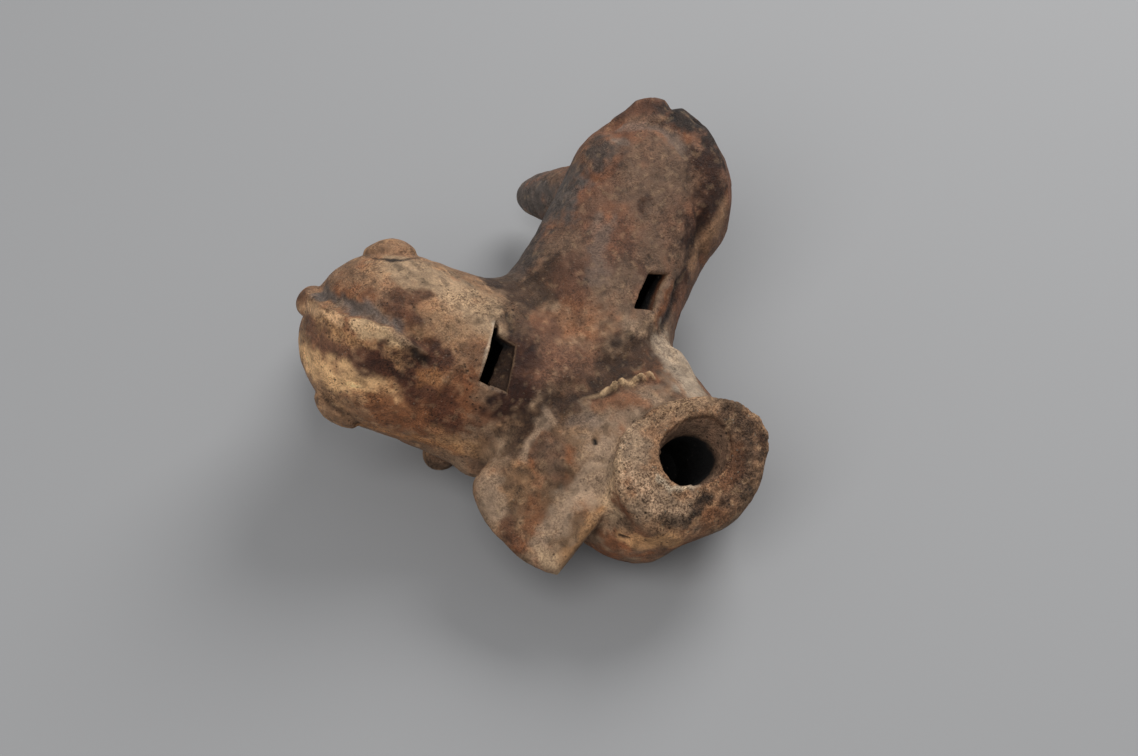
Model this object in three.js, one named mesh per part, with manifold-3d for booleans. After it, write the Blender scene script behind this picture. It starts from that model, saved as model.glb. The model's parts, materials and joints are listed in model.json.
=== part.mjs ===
// A double pottery whistle: two hollow bird-headed chambers on one rounded body, blown from a tail.
// Millimetres. The floor is z = 0, +Y is the way the birds face, +X is the whistle's right side.
// The origin is the centre of the small flat patch that the belly rests on.
// Each lump of clay that the potter made is a solid of its own, luted to its neighbours.

import * as THREE from 'three';
import { mergeVertices } from 'three/addons/utils/BufferGeometryUtils.js';
import Module from 'manifold-3d';

const wasm = await Module();
wasm.setup();

// Joints between the lumps of clay
const LUTING_GAP = 0.3;

// Body: a rounded belly with a smaller rump behind it that the mouthpiece grows from
const BODY_WIDTH = 33.0;
const BODY_LENGTH = 35.0;
const BODY_HEIGHT = 28.0;
const REST_FLAT_DEPTH = 0.4;
const RUMP_WIDTH = 26.6;
const RUMP_LENGTH = 29.6;
const RUMP_HEIGHT = 22.4;
const RUMP_BACK = 6.2;
const RUMP_ASIDE = -1.3;
const RUMP_CLEARANCE = 0.4;

// Chambers: a head ball on a thick neck, hollow, with a short spigot let into the body
const CHAMBER_WALL = 3.0;
const SPIGOT_SHOULDER = 4.0;
const SPIGOT_LENGTH = 4.0;
const SPIGOT_CHAMFER = 1.2;
const LEFT_HEAD_RADIUS = 15.0;
const LEFT_HEAD_X = -23.0;
const LEFT_HEAD_Y = 33.9;
const LEFT_HEAD_Z = 24.0;
const LEFT_NECK_RADIUS = 14.6;
const LEFT_NECK_X = -11.9;
const LEFT_NECK_Y = 22.5;
const LEFT_NECK_Z = 18.0;
const RIGHT_HEAD_RADIUS = 14.0;
const RIGHT_HEAD_X = 31.2;
const RIGHT_HEAD_Y = 35.3;
const RIGHT_HEAD_Z = 25.0;
const RIGHT_NECK_RADIUS = 14.0;
const RIGHT_NECK_X = 9.8;
const RIGHT_NECK_Y = 23.7;
const RIGHT_NECK_Z = 19.0;
const CROTCH_WEB_RADIUS = 10.8;
const STUMP_ROOT_TAPER = 1.4;
const STUMP_ROOT_SHARE = 0.45;

// Windows: the sound holes that the windways blow across
const LEFT_WINDOW_LENGTH = 9.3;
const LEFT_WINDOW_WIDTH = 2.9;
const RIGHT_WINDOW_LENGTH = 3.6;
const RIGHT_WINDOW_WIDTH = 6.2;
const WINDOW_CUT_ABOVE = 8.0;
const WINDOW_CUT_BELOW = 6.0;
const WINDWAY_HEIGHT = 1.8;
const WINDWAY_SIDE_MARGIN = 0.6;
const WINDWAY_COVER = 1.3;

// Mouthpiece: a tapered oval tube that points back and up from the rump
const MOUTHPIECE_ELEVATION = 54.4;
const MOUTHPIECE_LEAN = 0.02;
const MOUTHPIECE_LENGTH = 16.0;
const MOUTHPIECE_SEAT_X = 2.2;
const MOUTHPIECE_SEAT_Y = -6.0;
const MOUTHPIECE_SEAT_Z = 10.8;
const RIM_WIDTH = 27.6;
const RIM_HEIGHT = 22.2;
const RIM_SQUARENESS = 2.4;
const RIM_ROUNDING = 1.4;
const SEAT_WIDTH = 22.6;
const BORE_WIDTH = 10.6;
const BORE_HEIGHT = 8.0;
const BORE_SQUARENESS = 2;
const BORE_FLARE = 1.3;
const BORE_FLARE_DEPTH = 3.5;
const BORE_PAST_SEAT = 3.0;
const BORE_END_TAPER = 1.6;

// Crests: a rounded blade over each crown, highest at the front and sinking towards the nape
const LEFT_CREST_RISE = 2.4;
const RIGHT_CREST_RISE = 2.6;
const CREST_SINK = 1.6;
const CREST_THICKNESS = 5.4;
const CREST_DEPTH = 5.2;
const CREST_FRONT_ANGLE = -30;
const CREST_NAPE_ANGLE = 108;

// Beaks: blunt bullets
const BEAK_LENGTH = 18.6;
const BEAK_RADIUS = 5.8;
const BEAK_ROOT_DEPTH = 1.2;

// Eyes: flattened pellets of clay, one on each side of each head
const EYE_RADIUS = 4.5;
const EYE_BULGE = 1.8;

// Wings: flaps on the flanks, the right one pressed down against the belly.
// The outline's points are [outward, backward] from the middle of the wing's root
const WING_ROOT_FRONT = [-5.2, -8.6];
const WING_SHOULDER = [6.0, -9.0];
const WING_SHOULDER_PULL = [12.8, -9.0];
const WING_WIDEST = [13.9, 0.6];
const WING_TIP_PULL = [14.2, 7.0];
const WING_TIP = [11.1, 11.6];
const WING_ROOT_BACK = [-5.2, 9.8];
const WING_THICKNESS = 3.0;
const WING_EDGE_ROUNDING = 0.96;
const LEFT_WING_RISE = 24.8;
const RIGHT_WING_RISE = 10;
const WING_BACK = 2.0;
const WING_INTURN = 0.14;
const WING_SLOPE = 0.27;
const LEFT_WING_DROOP = 25;
const RIGHT_WING_DROOP = 70;

// Legs: two short pegs under the necks, which stand the front of the whistle level
const LEG_TOP_RADIUS = 3.9;
const LEG_FOOT_RADIUS = 2.9;
const LEG_SPLAY = 0.5;
const LEG_LEAN = 0.16;
const LEG_FOOT_FLAT_DEPTH = 1.7;

// How finely round forms are cut
const ROUND_SEGMENTS = 36;
const ARC_STEPS = 8;
const EDGE_STEPS = 3;

const FIRED_TAN = 0x8d6b4e;
const FIRED_BROWN = 0x6b4b38;
const SMOKED_GREY = 0x5a4c44;
const RIM_CLAY = 0x84705c;
const PALE_TAN = 0x9b7c5b;
const CLAY_ROUGHNESS = 0.85;

const radians = THREE.MathUtils.degToRad;
const vector = (x, y, z) => new THREE.Vector3(x, y, z);

// Turning three.js geometry into solids and back

function solid(geometry) {
  const bare = geometry.index ? geometry.clone() : geometry;
  bare.deleteAttribute('normal');
  bare.deleteAttribute('uv');
  const merged = mergeVertices(bare, 1e-4);
  const body = new wasm.Manifold(new wasm.Mesh({
    numProp: 3,
    vertProperties: new Float32Array(merged.attributes.position.array),
    triVerts: new Uint32Array(merged.index.array),
  }));
  if (body.volume() < 0) {
    throw new Error('a form is inside out');
  }
  return body;
}

function union(solids) {
  return solids.reduce((sum, next) => sum.add(next));
}

function difference(first, others) {
  return others.reduce((rest, next) => rest.subtract(next), first);
}

// The largest piece of a cut solid, so that no crumb is left where two surfaces graze
function mainPiece(body) {
  return body.decompose().reduce((best, next) => (next.volume() > best.volume() ? next : best));
}

function clayMesh(name, body, colour) {
  const data = mainPiece(body).getMesh();
  const geometry = new THREE.BufferGeometry();
  geometry.setAttribute('position', new THREE.BufferAttribute(new Float32Array(data.vertProperties), 3));
  geometry.setIndex(new THREE.BufferAttribute(new Uint32Array(data.triVerts), 1));
  const material = new THREE.MeshStandardMaterial({
    color: colour,
    roughness: CLAY_ROUGHNESS,
    metalness: 0,
  });
  const mesh = new THREE.Mesh(geometry, material);
  mesh.name = name;
  return mesh;
}

// Placing a form: local Y runs along the form, local X and Z lie across it

function placed(geometry, origin, along, across) {
  const y = along.clone().normalize();
  const z = new THREE.Vector3().crossVectors(across, y).normalize();
  const x = new THREE.Vector3().crossVectors(y, z);
  const matrix = new THREE.Matrix4().makeBasis(x, y, z).setPosition(origin);
  return geometry.applyMatrix4(matrix);
}

function anyAcross(along) {
  return Math.abs(along.z) > 0.9 ? vector(1, 0, 0) : vector(0, 0, 1);
}

function arcPoints(centreX, centreY, radius, fromAngle, toAngle, steps) {
  const points = [];
  for (let i = 0; i <= steps; i += 1) {
    const angle = fromAngle + (toAngle - fromAngle) * i / steps;
    points.push(new THREE.Vector2(centreX + radius * Math.cos(angle), centreY + radius * Math.sin(angle)));
  }
  return points;
}

function closedLathe(points, segments = ROUND_SEGMENTS) {
  points[0].x = 0;
  points[points.length - 1].x = 0;
  return new THREE.LatheGeometry(points, segments);
}

function ellipsoid(centre, width, length, height) {
  const geometry = new THREE.SphereGeometry(1, ROUND_SEGMENTS, ROUND_SEGMENTS / 2);
  geometry.rotateX(Math.PI / 2);
  geometry.scale(width / 2, length / 2, height / 2);
  geometry.translate(centre.x, centre.y, centre.z);
  return solid(geometry);
}

function roundCone(from, fromRadius, to, toRadius, segments = ROUND_SEGMENTS) {
  const along = new THREE.Vector3().subVectors(to, from);
  const length = along.length();
  const lean = Math.asin((fromRadius - toRadius) / length);
  const points = [
    ...arcPoints(0, 0, fromRadius, -Math.PI / 2, lean, ARC_STEPS),
    ...arcPoints(0, length, toRadius, lean, Math.PI / 2, ARC_STEPS),
  ];
  return solid(placed(closedLathe(points, segments), from, along, anyAcross(along)));
}

function block(centre, along, across, lengthAlong, widthAcross, thickness) {
  const geometry = new THREE.BoxGeometry(widthAcross, lengthAlong, thickness);
  return solid(placed(geometry, centre, along, across));
}

// Everything below the floor, which flattens the belly and the feet
const FLOOR_BLOCK = 200;
const belowFloor = block(vector(0, 0, -FLOOR_BLOCK / 2), vector(0, 1, 0), vector(1, 0, 0),
  FLOOR_BLOCK, FLOOR_BLOCK, FLOOR_BLOCK);

// The two birds

// Each bird has its own directions, because the potter set each crest, beak and eye by eye:
// crown is the crest's highest point, nape where it fades, the rest point from the head's centre
function bird(shape) {
  const axis = new THREE.Vector3().subVectors(shape.headCentre, shape.neckCentre);
  const reach = axis.length();
  axis.normalize();
  const crown = shape.crown.normalize();
  const nape = shape.nape.addScaledVector(crown, -shape.nape.dot(crown)).normalize();
  const up = shape.windowUp.addScaledVector(axis, -shape.windowUp.dot(axis)).normalize();
  const tangent = new THREE.Vector3().crossVectors(axis, up);
  const spigotRadius = shape.neckRadius - SPIGOT_SHOULDER;
  return { ...shape, axis, reach, crown, nape, up, tangent, spigotRadius };
}

const leftBird = bird({
  side: -1,
  headCentre: vector(LEFT_HEAD_X, LEFT_HEAD_Y, LEFT_HEAD_Z),
  headRadius: LEFT_HEAD_RADIUS,
  neckCentre: vector(LEFT_NECK_X, LEFT_NECK_Y, LEFT_NECK_Z),
  neckRadius: LEFT_NECK_RADIUS,
  windowLength: LEFT_WINDOW_LENGTH,
  windowWidth: LEFT_WINDOW_WIDTH,
  windowUp: vector(-0.10, -0.54, 0.84),
  crestRise: LEFT_CREST_RISE,
  crown: vector(-0.54, 0.80, 0.28),
  nape: vector(-0.28, -0.67, 0.69),
  beakWay: vector(0.256, 0.817, -0.518).normalize(),
  innerEye: vector(0.41, 0.65, 0.64).normalize(),
  outerEye: vector(-0.90, -0.19, -0.38).normalize(),
});
const rightBird = bird({
  side: 1,
  headCentre: vector(RIGHT_HEAD_X, RIGHT_HEAD_Y, RIGHT_HEAD_Z),
  headRadius: RIGHT_HEAD_RADIUS,
  neckCentre: vector(RIGHT_NECK_X, RIGHT_NECK_Y, RIGHT_NECK_Z),
  neckRadius: RIGHT_NECK_RADIUS,
  windowLength: RIGHT_WINDOW_LENGTH,
  windowWidth: RIGHT_WINDOW_WIDTH,
  windowUp: vector(0.26, -0.77, 0.59),
  crestRise: RIGHT_CREST_RISE,
  crown: vector(0.19, 0.65, 0.74),
  nape: vector(0.51, -0.68, 0.52),
  beakWay: vector(-0.256, 0.817, -0.518).normalize(),
  innerEye: vector(-0.59, 0.35, 0.73).normalize(),
  outerEye: vector(0.55, 0.25, -0.80).normalize(),
});

// A chamber from its spigot to the front of the head, grown by a margin on every side
function chamberForm({ headRadius, neckCentre, neckRadius, spigotRadius, axis, reach }, grow) {
  const lean = Math.asin((neckRadius - headRadius) / reach);
  const shoulder = -grow;
  const back = -SPIGOT_LENGTH - grow;
  const spigot = spigotRadius + grow;
  const points = [
    new THREE.Vector2(0, back),
    new THREE.Vector2(spigot - SPIGOT_CHAMFER, back),
    new THREE.Vector2(spigot, back + SPIGOT_CHAMFER),
    new THREE.Vector2(spigot, shoulder),
    new THREE.Vector2(neckRadius + grow, shoulder),
    ...arcPoints(0, reach, headRadius + grow, lean, Math.PI / 2, ARC_STEPS),
  ];
  return solid(placed(closedLathe(points), neckCentre, axis, anyAcross(axis)));
}

// The air inside a chamber
function chamberHollow({ headRadius, neckCentre, neckRadius, spigotRadius, axis, reach }) {
  const inHead = headRadius - CHAMBER_WALL;
  const inNeck = neckRadius - CHAMBER_WALL;
  const inSpigot = spigotRadius - CHAMBER_WALL;
  const back = -SPIGOT_LENGTH + CHAMBER_WALL;
  const points = [
    new THREE.Vector2(0, back),
    new THREE.Vector2(inSpigot, back),
    new THREE.Vector2(inNeck, back + (inNeck - inSpigot)),
    ...arcPoints(0, reach, inHead, 0, Math.PI / 2, ARC_STEPS),
  ];
  return solid(placed(closedLathe(points), neckCentre, axis, anyAcross(axis)));
}

// The window: a slot through the chamber's wall, right at the shoulder, with a sharp far edge
function windowSlot({ neckCentre, neckRadius, axis, up, tangent, windowLength, windowWidth }) {
  const centre = neckCentre.clone()
    .addScaledVector(up, neckRadius - CHAMBER_WALL + (WINDOW_CUT_ABOVE - WINDOW_CUT_BELOW) / 2)
    .addScaledVector(axis, windowWidth / 2 - LUTING_GAP);
  const depth = WINDOW_CUT_ABOVE + WINDOW_CUT_BELOW;
  return block(centre, axis, tangent, windowWidth + 2 * LUTING_GAP, windowLength, depth);
}

function chamber(which) {
  return difference(chamberForm(which, 0), [chamberHollow(which), windowSlot(which)]);
}

// Where the mouthpiece sits on the rump

const mouthAxis = vector(
  MOUTHPIECE_LEAN,
  -Math.cos(radians(MOUTHPIECE_ELEVATION)),
  Math.sin(radians(MOUTHPIECE_ELEVATION)),
).normalize();
const bodyCentre = vector(0, 0, BODY_HEIGHT / 2 - REST_FLAT_DEPTH);
const rumpCentre = vector(RUMP_ASIDE, -RUMP_BACK, RUMP_HEIGHT / 2 + RUMP_CLEARANCE);
const mouthSeat = vector(MOUTHPIECE_SEAT_X, MOUTHPIECE_SEAT_Y, MOUTHPIECE_SEAT_Z);
const boreEnd = mouthSeat.clone().addScaledVector(mouthAxis, -BORE_PAST_SEAT);

// Windways: flat ducts from the mouthpiece's bore up to the two windows

function windway({ neckCentre, neckRadius, up, tangent, windowLength, axis }) {
  const exit = neckCentre.clone()
    .addScaledVector(up, neckRadius - WINDWAY_COVER - WINDWAY_HEIGHT / 2)
    .addScaledVector(axis, LUTING_GAP);
  const along = new THREE.Vector3().subVectors(exit, boreEnd);
  const centre = new THREE.Vector3().addVectors(exit, boreEnd).multiplyScalar(0.5);
  const width = windowLength - 2 * WINDWAY_SIDE_MARGIN;
  return block(centre, along, tangent, along.length(), width, WINDWAY_HEIGHT);
}

// Mouthpiece

// A lathed form drawn out into an oval with slightly squared corners
function ovalLathe(points, heightRatio, squareness) {
  const geometry = new THREE.LatheGeometry(points, ROUND_SEGMENTS);
  const position = geometry.attributes.position;
  for (let i = 0; i < position.count; i += 1) {
    const x = position.getX(i);
    const z = position.getZ(i);
    const round = Math.hypot(x, z);
    const square = (Math.abs(x) ** squareness + Math.abs(z) ** squareness) ** (1 / squareness);
    const stretch = round > 0 ? round / square : 1;
    position.setX(i, x * stretch);
    position.setZ(i, z * stretch * heightRatio);
  }
  return solid(placed(geometry, mouthSeat, mouthAxis, vector(1, 0, 0)));
}

function mouthpieceForm() {
  const rim = RIM_WIDTH / 2;
  const seat = SEAT_WIDTH / 2;
  const roundingHeight = MOUTHPIECE_LENGTH - RIM_ROUNDING;
  const points = [
    new THREE.Vector2(0, 0),
    new THREE.Vector2(seat - RIM_ROUNDING, 0),
    new THREE.Vector2(seat, RIM_ROUNDING),
    ...arcPoints(rim - RIM_ROUNDING, roundingHeight, RIM_ROUNDING, 0, Math.PI / 2, EDGE_STEPS),
    new THREE.Vector2(0, MOUTHPIECE_LENGTH),
  ];
  return ovalLathe(points, RIM_HEIGHT / RIM_WIDTH, RIM_SQUARENESS);
}

// The socket that the mouthpiece sits in, open outwards past the rim
function mouthpieceSocket() {
  const clearance = LUTING_GAP * RIM_WIDTH / RIM_HEIGHT;
  const points = [
    new THREE.Vector2(0, -LUTING_GAP),
    new THREE.Vector2(SEAT_WIDTH / 2 + clearance, -LUTING_GAP),
    new THREE.Vector2(SEAT_WIDTH / 2 + clearance, RIM_ROUNDING),
    new THREE.Vector2(RIM_WIDTH / 2 + clearance, MOUTHPIECE_LENGTH - RIM_ROUNDING),
    new THREE.Vector2(RIM_WIDTH / 2 + clearance, MOUTHPIECE_LENGTH + RIM_WIDTH),
    new THREE.Vector2(0, MOUTHPIECE_LENGTH + RIM_WIDTH),
  ];
  return ovalLathe(points, RIM_HEIGHT / RIM_WIDTH, RIM_SQUARENESS);
}

function mouthBore() {
  const radius = BORE_WIDTH / 2;
  const overshoot = 1;
  const points = [
    new THREE.Vector2(0, -BORE_PAST_SEAT),
    new THREE.Vector2(radius - BORE_END_TAPER, -BORE_PAST_SEAT),
    new THREE.Vector2(radius, BORE_END_TAPER - BORE_PAST_SEAT),
  ];
  for (let i = 0; i <= EDGE_STEPS; i += 1) {
    const share = i / EDGE_STEPS;
    const height = MOUTHPIECE_LENGTH - BORE_FLARE_DEPTH * (1 - share);
    points.push(new THREE.Vector2(radius + BORE_FLARE * share ** 2, height));
  }
  points.push(new THREE.Vector2(radius + BORE_FLARE, MOUTHPIECE_LENGTH + overshoot));
  points.push(new THREE.Vector2(0, MOUTHPIECE_LENGTH + overshoot));
  return ovalLathe(points, BORE_HEIGHT / BORE_WIDTH, BORE_SQUARENESS);
}

const bore = mouthBore();

// Body

// The neck stumps run from inside the body to the chambers' shoulders
function neckStump({ neckCentre, neckRadius, axis }, grow) {
  const root = bodyCentre.clone().lerp(neckCentre, STUMP_ROOT_SHARE);
  const stump = roundCone(root, neckRadius - STUMP_ROOT_TAPER + grow, neckCentre, neckRadius + grow);
  const ahead = 2 * neckRadius;
  const wide = 4 * neckRadius;
  const cutCentre = neckCentre.clone().addScaledVector(axis, ahead / 2 - LUTING_GAP + grow);
  return stump.subtract(block(cutCentre, axis, anyAcross(axis), ahead, wide, wide));
}

function bodyForm(grow) {
  const middle = leftBird.neckCentre.clone().lerp(rightBird.neckCentre, 0.5);
  return union([
    ellipsoid(bodyCentre, BODY_WIDTH + 2 * grow, BODY_LENGTH + 2 * grow, BODY_HEIGHT + 2 * grow),
    ellipsoid(rumpCentre, RUMP_WIDTH + 2 * grow, RUMP_LENGTH + 2 * grow, RUMP_HEIGHT + 2 * grow),
    neckStump(leftBird, grow),
    neckStump(rightBird, grow),
    roundCone(bodyCentre, CROTCH_WEB_RADIUS + grow, middle, CROTCH_WEB_RADIUS + grow),
  ]);
}

function bodyPiece() {
  return difference(bodyForm(0), [
    chamberForm(leftBird, LUTING_GAP),
    chamberForm(rightBird, LUTING_GAP),
    mouthpieceSocket(),
    bore,
    windway(leftBird),
    windway(rightBird),
    belowFloor,
  ]);
}

// What every applied piece is trimmed back from
const carriers = union([
  bodyForm(LUTING_GAP),
  chamberForm(leftBird, LUTING_GAP),
  chamberForm(rightBird, LUTING_GAP),
  mouthpieceSocket(),
]);

// Crest

function crest({ headCentre, headRadius, crown, nape, crestRise }) {
  const half = CREST_DEPTH / 2;
  const shift = crestRise + CREST_SINK - half;
  const radius = headRadius - CREST_SINK;
  const path = new THREE.CatmullRomCurve3(Array.from({ length: ARC_STEPS + 1 }, (_, i) => {
    const angle = radians(CREST_FRONT_ANGLE + (CREST_NAPE_ANGLE - CREST_FRONT_ANGLE) * i / ARC_STEPS);
    return vector(shift + radius * Math.cos(angle), radius * Math.sin(angle), 0);
  }));
  const section = new THREE.Shape();
  section.absellipse(0, 0, CREST_THICKNESS / 2, half, 0, 2 * Math.PI);
  const geometry = new THREE.ExtrudeGeometry(section, {
    steps: 2 * ARC_STEPS,
    curveSegments: 8,
    bevelEnabled: false,
    extrudePath: path,
  });
  const across = new THREE.Vector3().crossVectors(crown, nape);
  geometry.applyMatrix4(new THREE.Matrix4().makeBasis(crown, nape, across).setPosition(headCentre));
  return solid(geometry).subtract(carriers);
}

// Beak

function beak({ headCentre, headRadius, beakWay, crown }) {
  const halfLength = BEAK_LENGTH + BEAK_ROOT_DEPTH;
  const geometry = new THREE.SphereGeometry(1, ROUND_SEGMENTS / 2, ROUND_SEGMENTS / 2);
  geometry.scale(BEAK_RADIUS, halfLength, BEAK_RADIUS);
  const root = headCentre.clone().addScaledVector(beakWay, headRadius - BEAK_ROOT_DEPTH);
  return solid(placed(geometry, root, beakWay, crown)).subtract(carriers);
}

// Eyes

function eye({ headCentre, headRadius, crown }, direction) {
  const geometry = new THREE.SphereGeometry(1, ROUND_SEGMENTS / 2, ROUND_SEGMENTS / 4);
  geometry.scale(EYE_RADIUS, EYE_BULGE, EYE_RADIUS);
  const centre = headCentre.clone().addScaledVector(direction, headRadius);
  return solid(placed(geometry, centre, direction, crown)).subtract(carriers);
}

// Wing

function wing(side, rise, droop) {
  const aft = vector(-side * WING_INTURN, -1, -WING_SLOPE).normalize();
  const level = new THREE.Vector3().crossVectors(aft, vector(0, 0, 1)).normalize();
  if (level.x * side < 0) {
    level.negate();
  }
  const down = new THREE.Vector3().crossVectors(level, aft).normalize();
  if (down.z > 0) {
    down.negate();
  }
  const outward = level.clone().multiplyScalar(Math.cos(radians(droop)))
    .addScaledVector(down, Math.sin(radians(droop)));
  const outline = new THREE.Shape();
  outline.moveTo(...WING_ROOT_FRONT);
  outline.lineTo(...WING_SHOULDER);
  outline.quadraticCurveTo(...WING_SHOULDER_PULL, ...WING_WIDEST);
  outline.quadraticCurveTo(...WING_TIP_PULL, ...WING_TIP);
  outline.lineTo(...WING_ROOT_BACK);
  outline.closePath();
  const geometry = new THREE.ExtrudeGeometry(outline, {
    depth: WING_THICKNESS - 2 * WING_EDGE_ROUNDING,
    curveSegments: 6,
    bevelSize: WING_EDGE_ROUNDING,
    bevelOffset: -WING_EDGE_ROUNDING,
    bevelThickness: WING_EDGE_ROUNDING,
    bevelSegments: 2,
  });
  geometry.translate(0, 0, WING_EDGE_ROUNDING - WING_THICKNESS / 2);
  const girth = Math.sqrt(1 - (WING_BACK / (BODY_LENGTH / 2)) ** 2);
  const root = bodyCentre.clone().add(vector(
    side * girth * BODY_WIDTH / 2 * Math.cos(radians(rise)),
    -WING_BACK,
    girth * BODY_HEIGHT / 2 * Math.sin(radians(rise)),
  ));
  const facing = new THREE.Vector3().crossVectors(outward, aft);
  geometry.applyMatrix4(new THREE.Matrix4().makeBasis(outward, aft, facing).setPosition(root));
  return solid(geometry).subtract(carriers);
}

// Leg

function leg({ side, neckCentre, neckRadius }) {
  const down = vector(side * LEG_SPLAY, LEG_LEAN, -1).normalize();
  const top = neckCentre.clone().addScaledVector(down, neckRadius - LEG_TOP_RADIUS);
  const length = (top.z - LEG_FOOT_RADIUS + LEG_FOOT_FLAT_DEPTH) / -down.z;
  const foot = top.clone().addScaledVector(down, length);
  return roundCone(top, LEG_TOP_RADIUS, foot, LEG_FOOT_RADIUS, ROUND_SEGMENTS / 2)
    .subtract(carriers)
    .subtract(belowFloor);
}

const mouthpiece = difference(mouthpieceForm(), [bore, windway(leftBird), windway(rightBird)]);

const whistle = new THREE.Group();
whistle.name = 'double_whistle';
whistle.add(
  clayMesh('body', bodyPiece(), FIRED_TAN),
  clayMesh('mouthpiece', mouthpiece, RIM_CLAY),
  clayMesh('chamber_left', chamber(leftBird), PALE_TAN),
  clayMesh('chamber_right', chamber(rightBird), FIRED_BROWN),
  clayMesh('crest_left', crest(leftBird), FIRED_TAN),
  clayMesh('crest_right', crest(rightBird), SMOKED_GREY),
  clayMesh('beak_left', beak(leftBird), PALE_TAN),
  clayMesh('beak_right', beak(rightBird), SMOKED_GREY),
  clayMesh('eye_left_inner', eye(leftBird, leftBird.innerEye), PALE_TAN),
  clayMesh('eye_left_outer', eye(leftBird, leftBird.outerEye), PALE_TAN),
  clayMesh('eye_right_inner', eye(rightBird, rightBird.innerEye), SMOKED_GREY),
  clayMesh('eye_right_outer', eye(rightBird, rightBird.outerEye), SMOKED_GREY),
  clayMesh('wing_left', wing(-1, LEFT_WING_RISE, LEFT_WING_DROOP), PALE_TAN),
  clayMesh('wing_right', wing(1, RIGHT_WING_RISE, RIGHT_WING_DROOP), PALE_TAN),
  clayMesh('leg_left', leg(leftBird), FIRED_TAN),
  clayMesh('leg_right', leg(rightBird), FIRED_BROWN),
);

export default whistle;
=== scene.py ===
# A double pottery whistle at rest on a pale floor, seen from behind and above.
# The clay's surface is worked out in millimetres, and turned into metres when a mesh is made.

import json
import math
import bpy
import mathutils
import numpy as np
from functools import partial
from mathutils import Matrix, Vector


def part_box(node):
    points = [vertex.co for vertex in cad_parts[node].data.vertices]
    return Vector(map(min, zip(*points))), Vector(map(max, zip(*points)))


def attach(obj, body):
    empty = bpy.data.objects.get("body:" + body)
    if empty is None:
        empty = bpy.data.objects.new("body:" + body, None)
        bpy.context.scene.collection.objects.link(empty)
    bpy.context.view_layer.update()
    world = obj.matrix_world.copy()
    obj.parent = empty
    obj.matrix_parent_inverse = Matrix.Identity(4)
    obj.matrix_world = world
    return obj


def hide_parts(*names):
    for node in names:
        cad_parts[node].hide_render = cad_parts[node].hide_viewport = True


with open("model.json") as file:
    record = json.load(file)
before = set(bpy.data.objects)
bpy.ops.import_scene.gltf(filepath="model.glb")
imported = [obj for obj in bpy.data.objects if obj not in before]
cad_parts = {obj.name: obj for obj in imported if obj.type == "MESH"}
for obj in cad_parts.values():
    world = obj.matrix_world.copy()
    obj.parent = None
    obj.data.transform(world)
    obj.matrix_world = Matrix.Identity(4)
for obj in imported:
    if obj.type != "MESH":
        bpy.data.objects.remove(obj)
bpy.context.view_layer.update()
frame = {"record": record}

MM = 0.001

# Sampling: steps in mm, samples along a block's edge, and blocks that are worked out at a time.
# A block is sampled closely when the surface may cross it: the reach is half its diagonal, with slack
# and a margin because the field isn't a true distance
GRID_STEP = 0.3
FINE_STEP = 0.2
BLOCK = 8
BATCH = 400
HALF_DIAGONAL = 0.87
FIELD_SLACK = 1.4
FIELD_MARGIN = 0.6

# How far a piece's grid goes past its solid's box, and past whole steps below the floor
PIECE_MARGIN = 5.0
UNDERSIDE_SHIFT = 0.13


# Vectors

def vec(*xyz):
    return np.array(xyz, dtype=np.float32)


def unit(v):
    return v / np.linalg.norm(v)


def square_to(v, axis):
    return unit(v - axis * float(v @ axis))


# The photograph's camera

PHOTO_WIDTH = 1138
PHOTO_HEIGHT = 756
MM_PER_PIXEL = 0.16
CAMERA_DISTANCE = 462.0
CAMERA_AZIMUTH = math.radians(-36.0)
CAMERA_ELEVATION = math.radians(50.0)
VIEW_CENTRE = vec(-7.83, 4.91, 32.09)
SENSOR_WIDTH = 36.0

view_back = vec(
    math.sin(CAMERA_AZIMUTH) * math.cos(CAMERA_ELEVATION),
    -math.cos(CAMERA_AZIMUTH) * math.cos(CAMERA_ELEVATION),
    math.sin(CAMERA_ELEVATION))
view_right = vec(math.cos(CAMERA_AZIMUTH), math.sin(CAMERA_AZIMUTH), 0.0)
view_up = np.cross(view_back, view_right)
camera_at = VIEW_CENTRE + view_back * CAMERA_DISTANCE


def pixel_ray(u, v):
    across = (u - PHOTO_WIDTH / 2) * MM_PER_PIXEL
    upward = (PHOTO_HEIGHT / 2 - v) * MM_PER_PIXEL
    return unit(view_right * across + view_up * upward - view_back * CAMERA_DISTANCE)


# Distances to simple forms, negative inside

def smooth_min(a, b, k):
    h = np.clip(0.5 + 0.5 * (b - a) / k, 0.0, 1.0)
    return b + (a - b) * h - k * h * (1.0 - h)


def smooth_max(a, b, k):
    return -smooth_min(-a, -b, k)


def ellipsoid(p, centre, radii, axes=None):
    q = p - centre
    if axes is not None:
        q = q @ axes
    k0 = np.linalg.norm(q / radii, axis=-1)
    k1 = np.linalg.norm(q / (radii * radii), axis=-1) + 1e-9
    return k0 * (k0 - 1.0) / k1


def round_cone(p, a, b, ra, rb):
    along = b - a
    l2 = float(along @ along)
    rr = ra - rb
    a2 = l2 - rr * rr
    il2 = 1.0 / l2
    pa = p - a
    y = pa @ along
    z = y - l2
    x2 = np.sum((pa * l2 - y[:, None] * along) ** 2, axis=-1)
    y2 = y * y * l2
    z2 = z * z * l2
    k = np.sign(rr) * rr * rr * x2
    d = (np.sqrt(x2 * a2 * il2) + y * rr) * il2 - ra
    d = np.where(np.sign(z) * a2 * z2 > k, np.sqrt(x2 + z2) * il2 - rb, d)
    return np.where(np.sign(y) * a2 * y2 < k, np.sqrt(x2 + y2) * il2 - ra, d)


def brick(p, centre, axes, half, rounding):
    q = np.abs((p - centre) @ axes) - (half - rounding)
    outside = np.linalg.norm(np.maximum(q, 0.0), axis=-1)
    return outside + np.minimum(np.max(q, axis=-1), 0.0) - rounding


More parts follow.
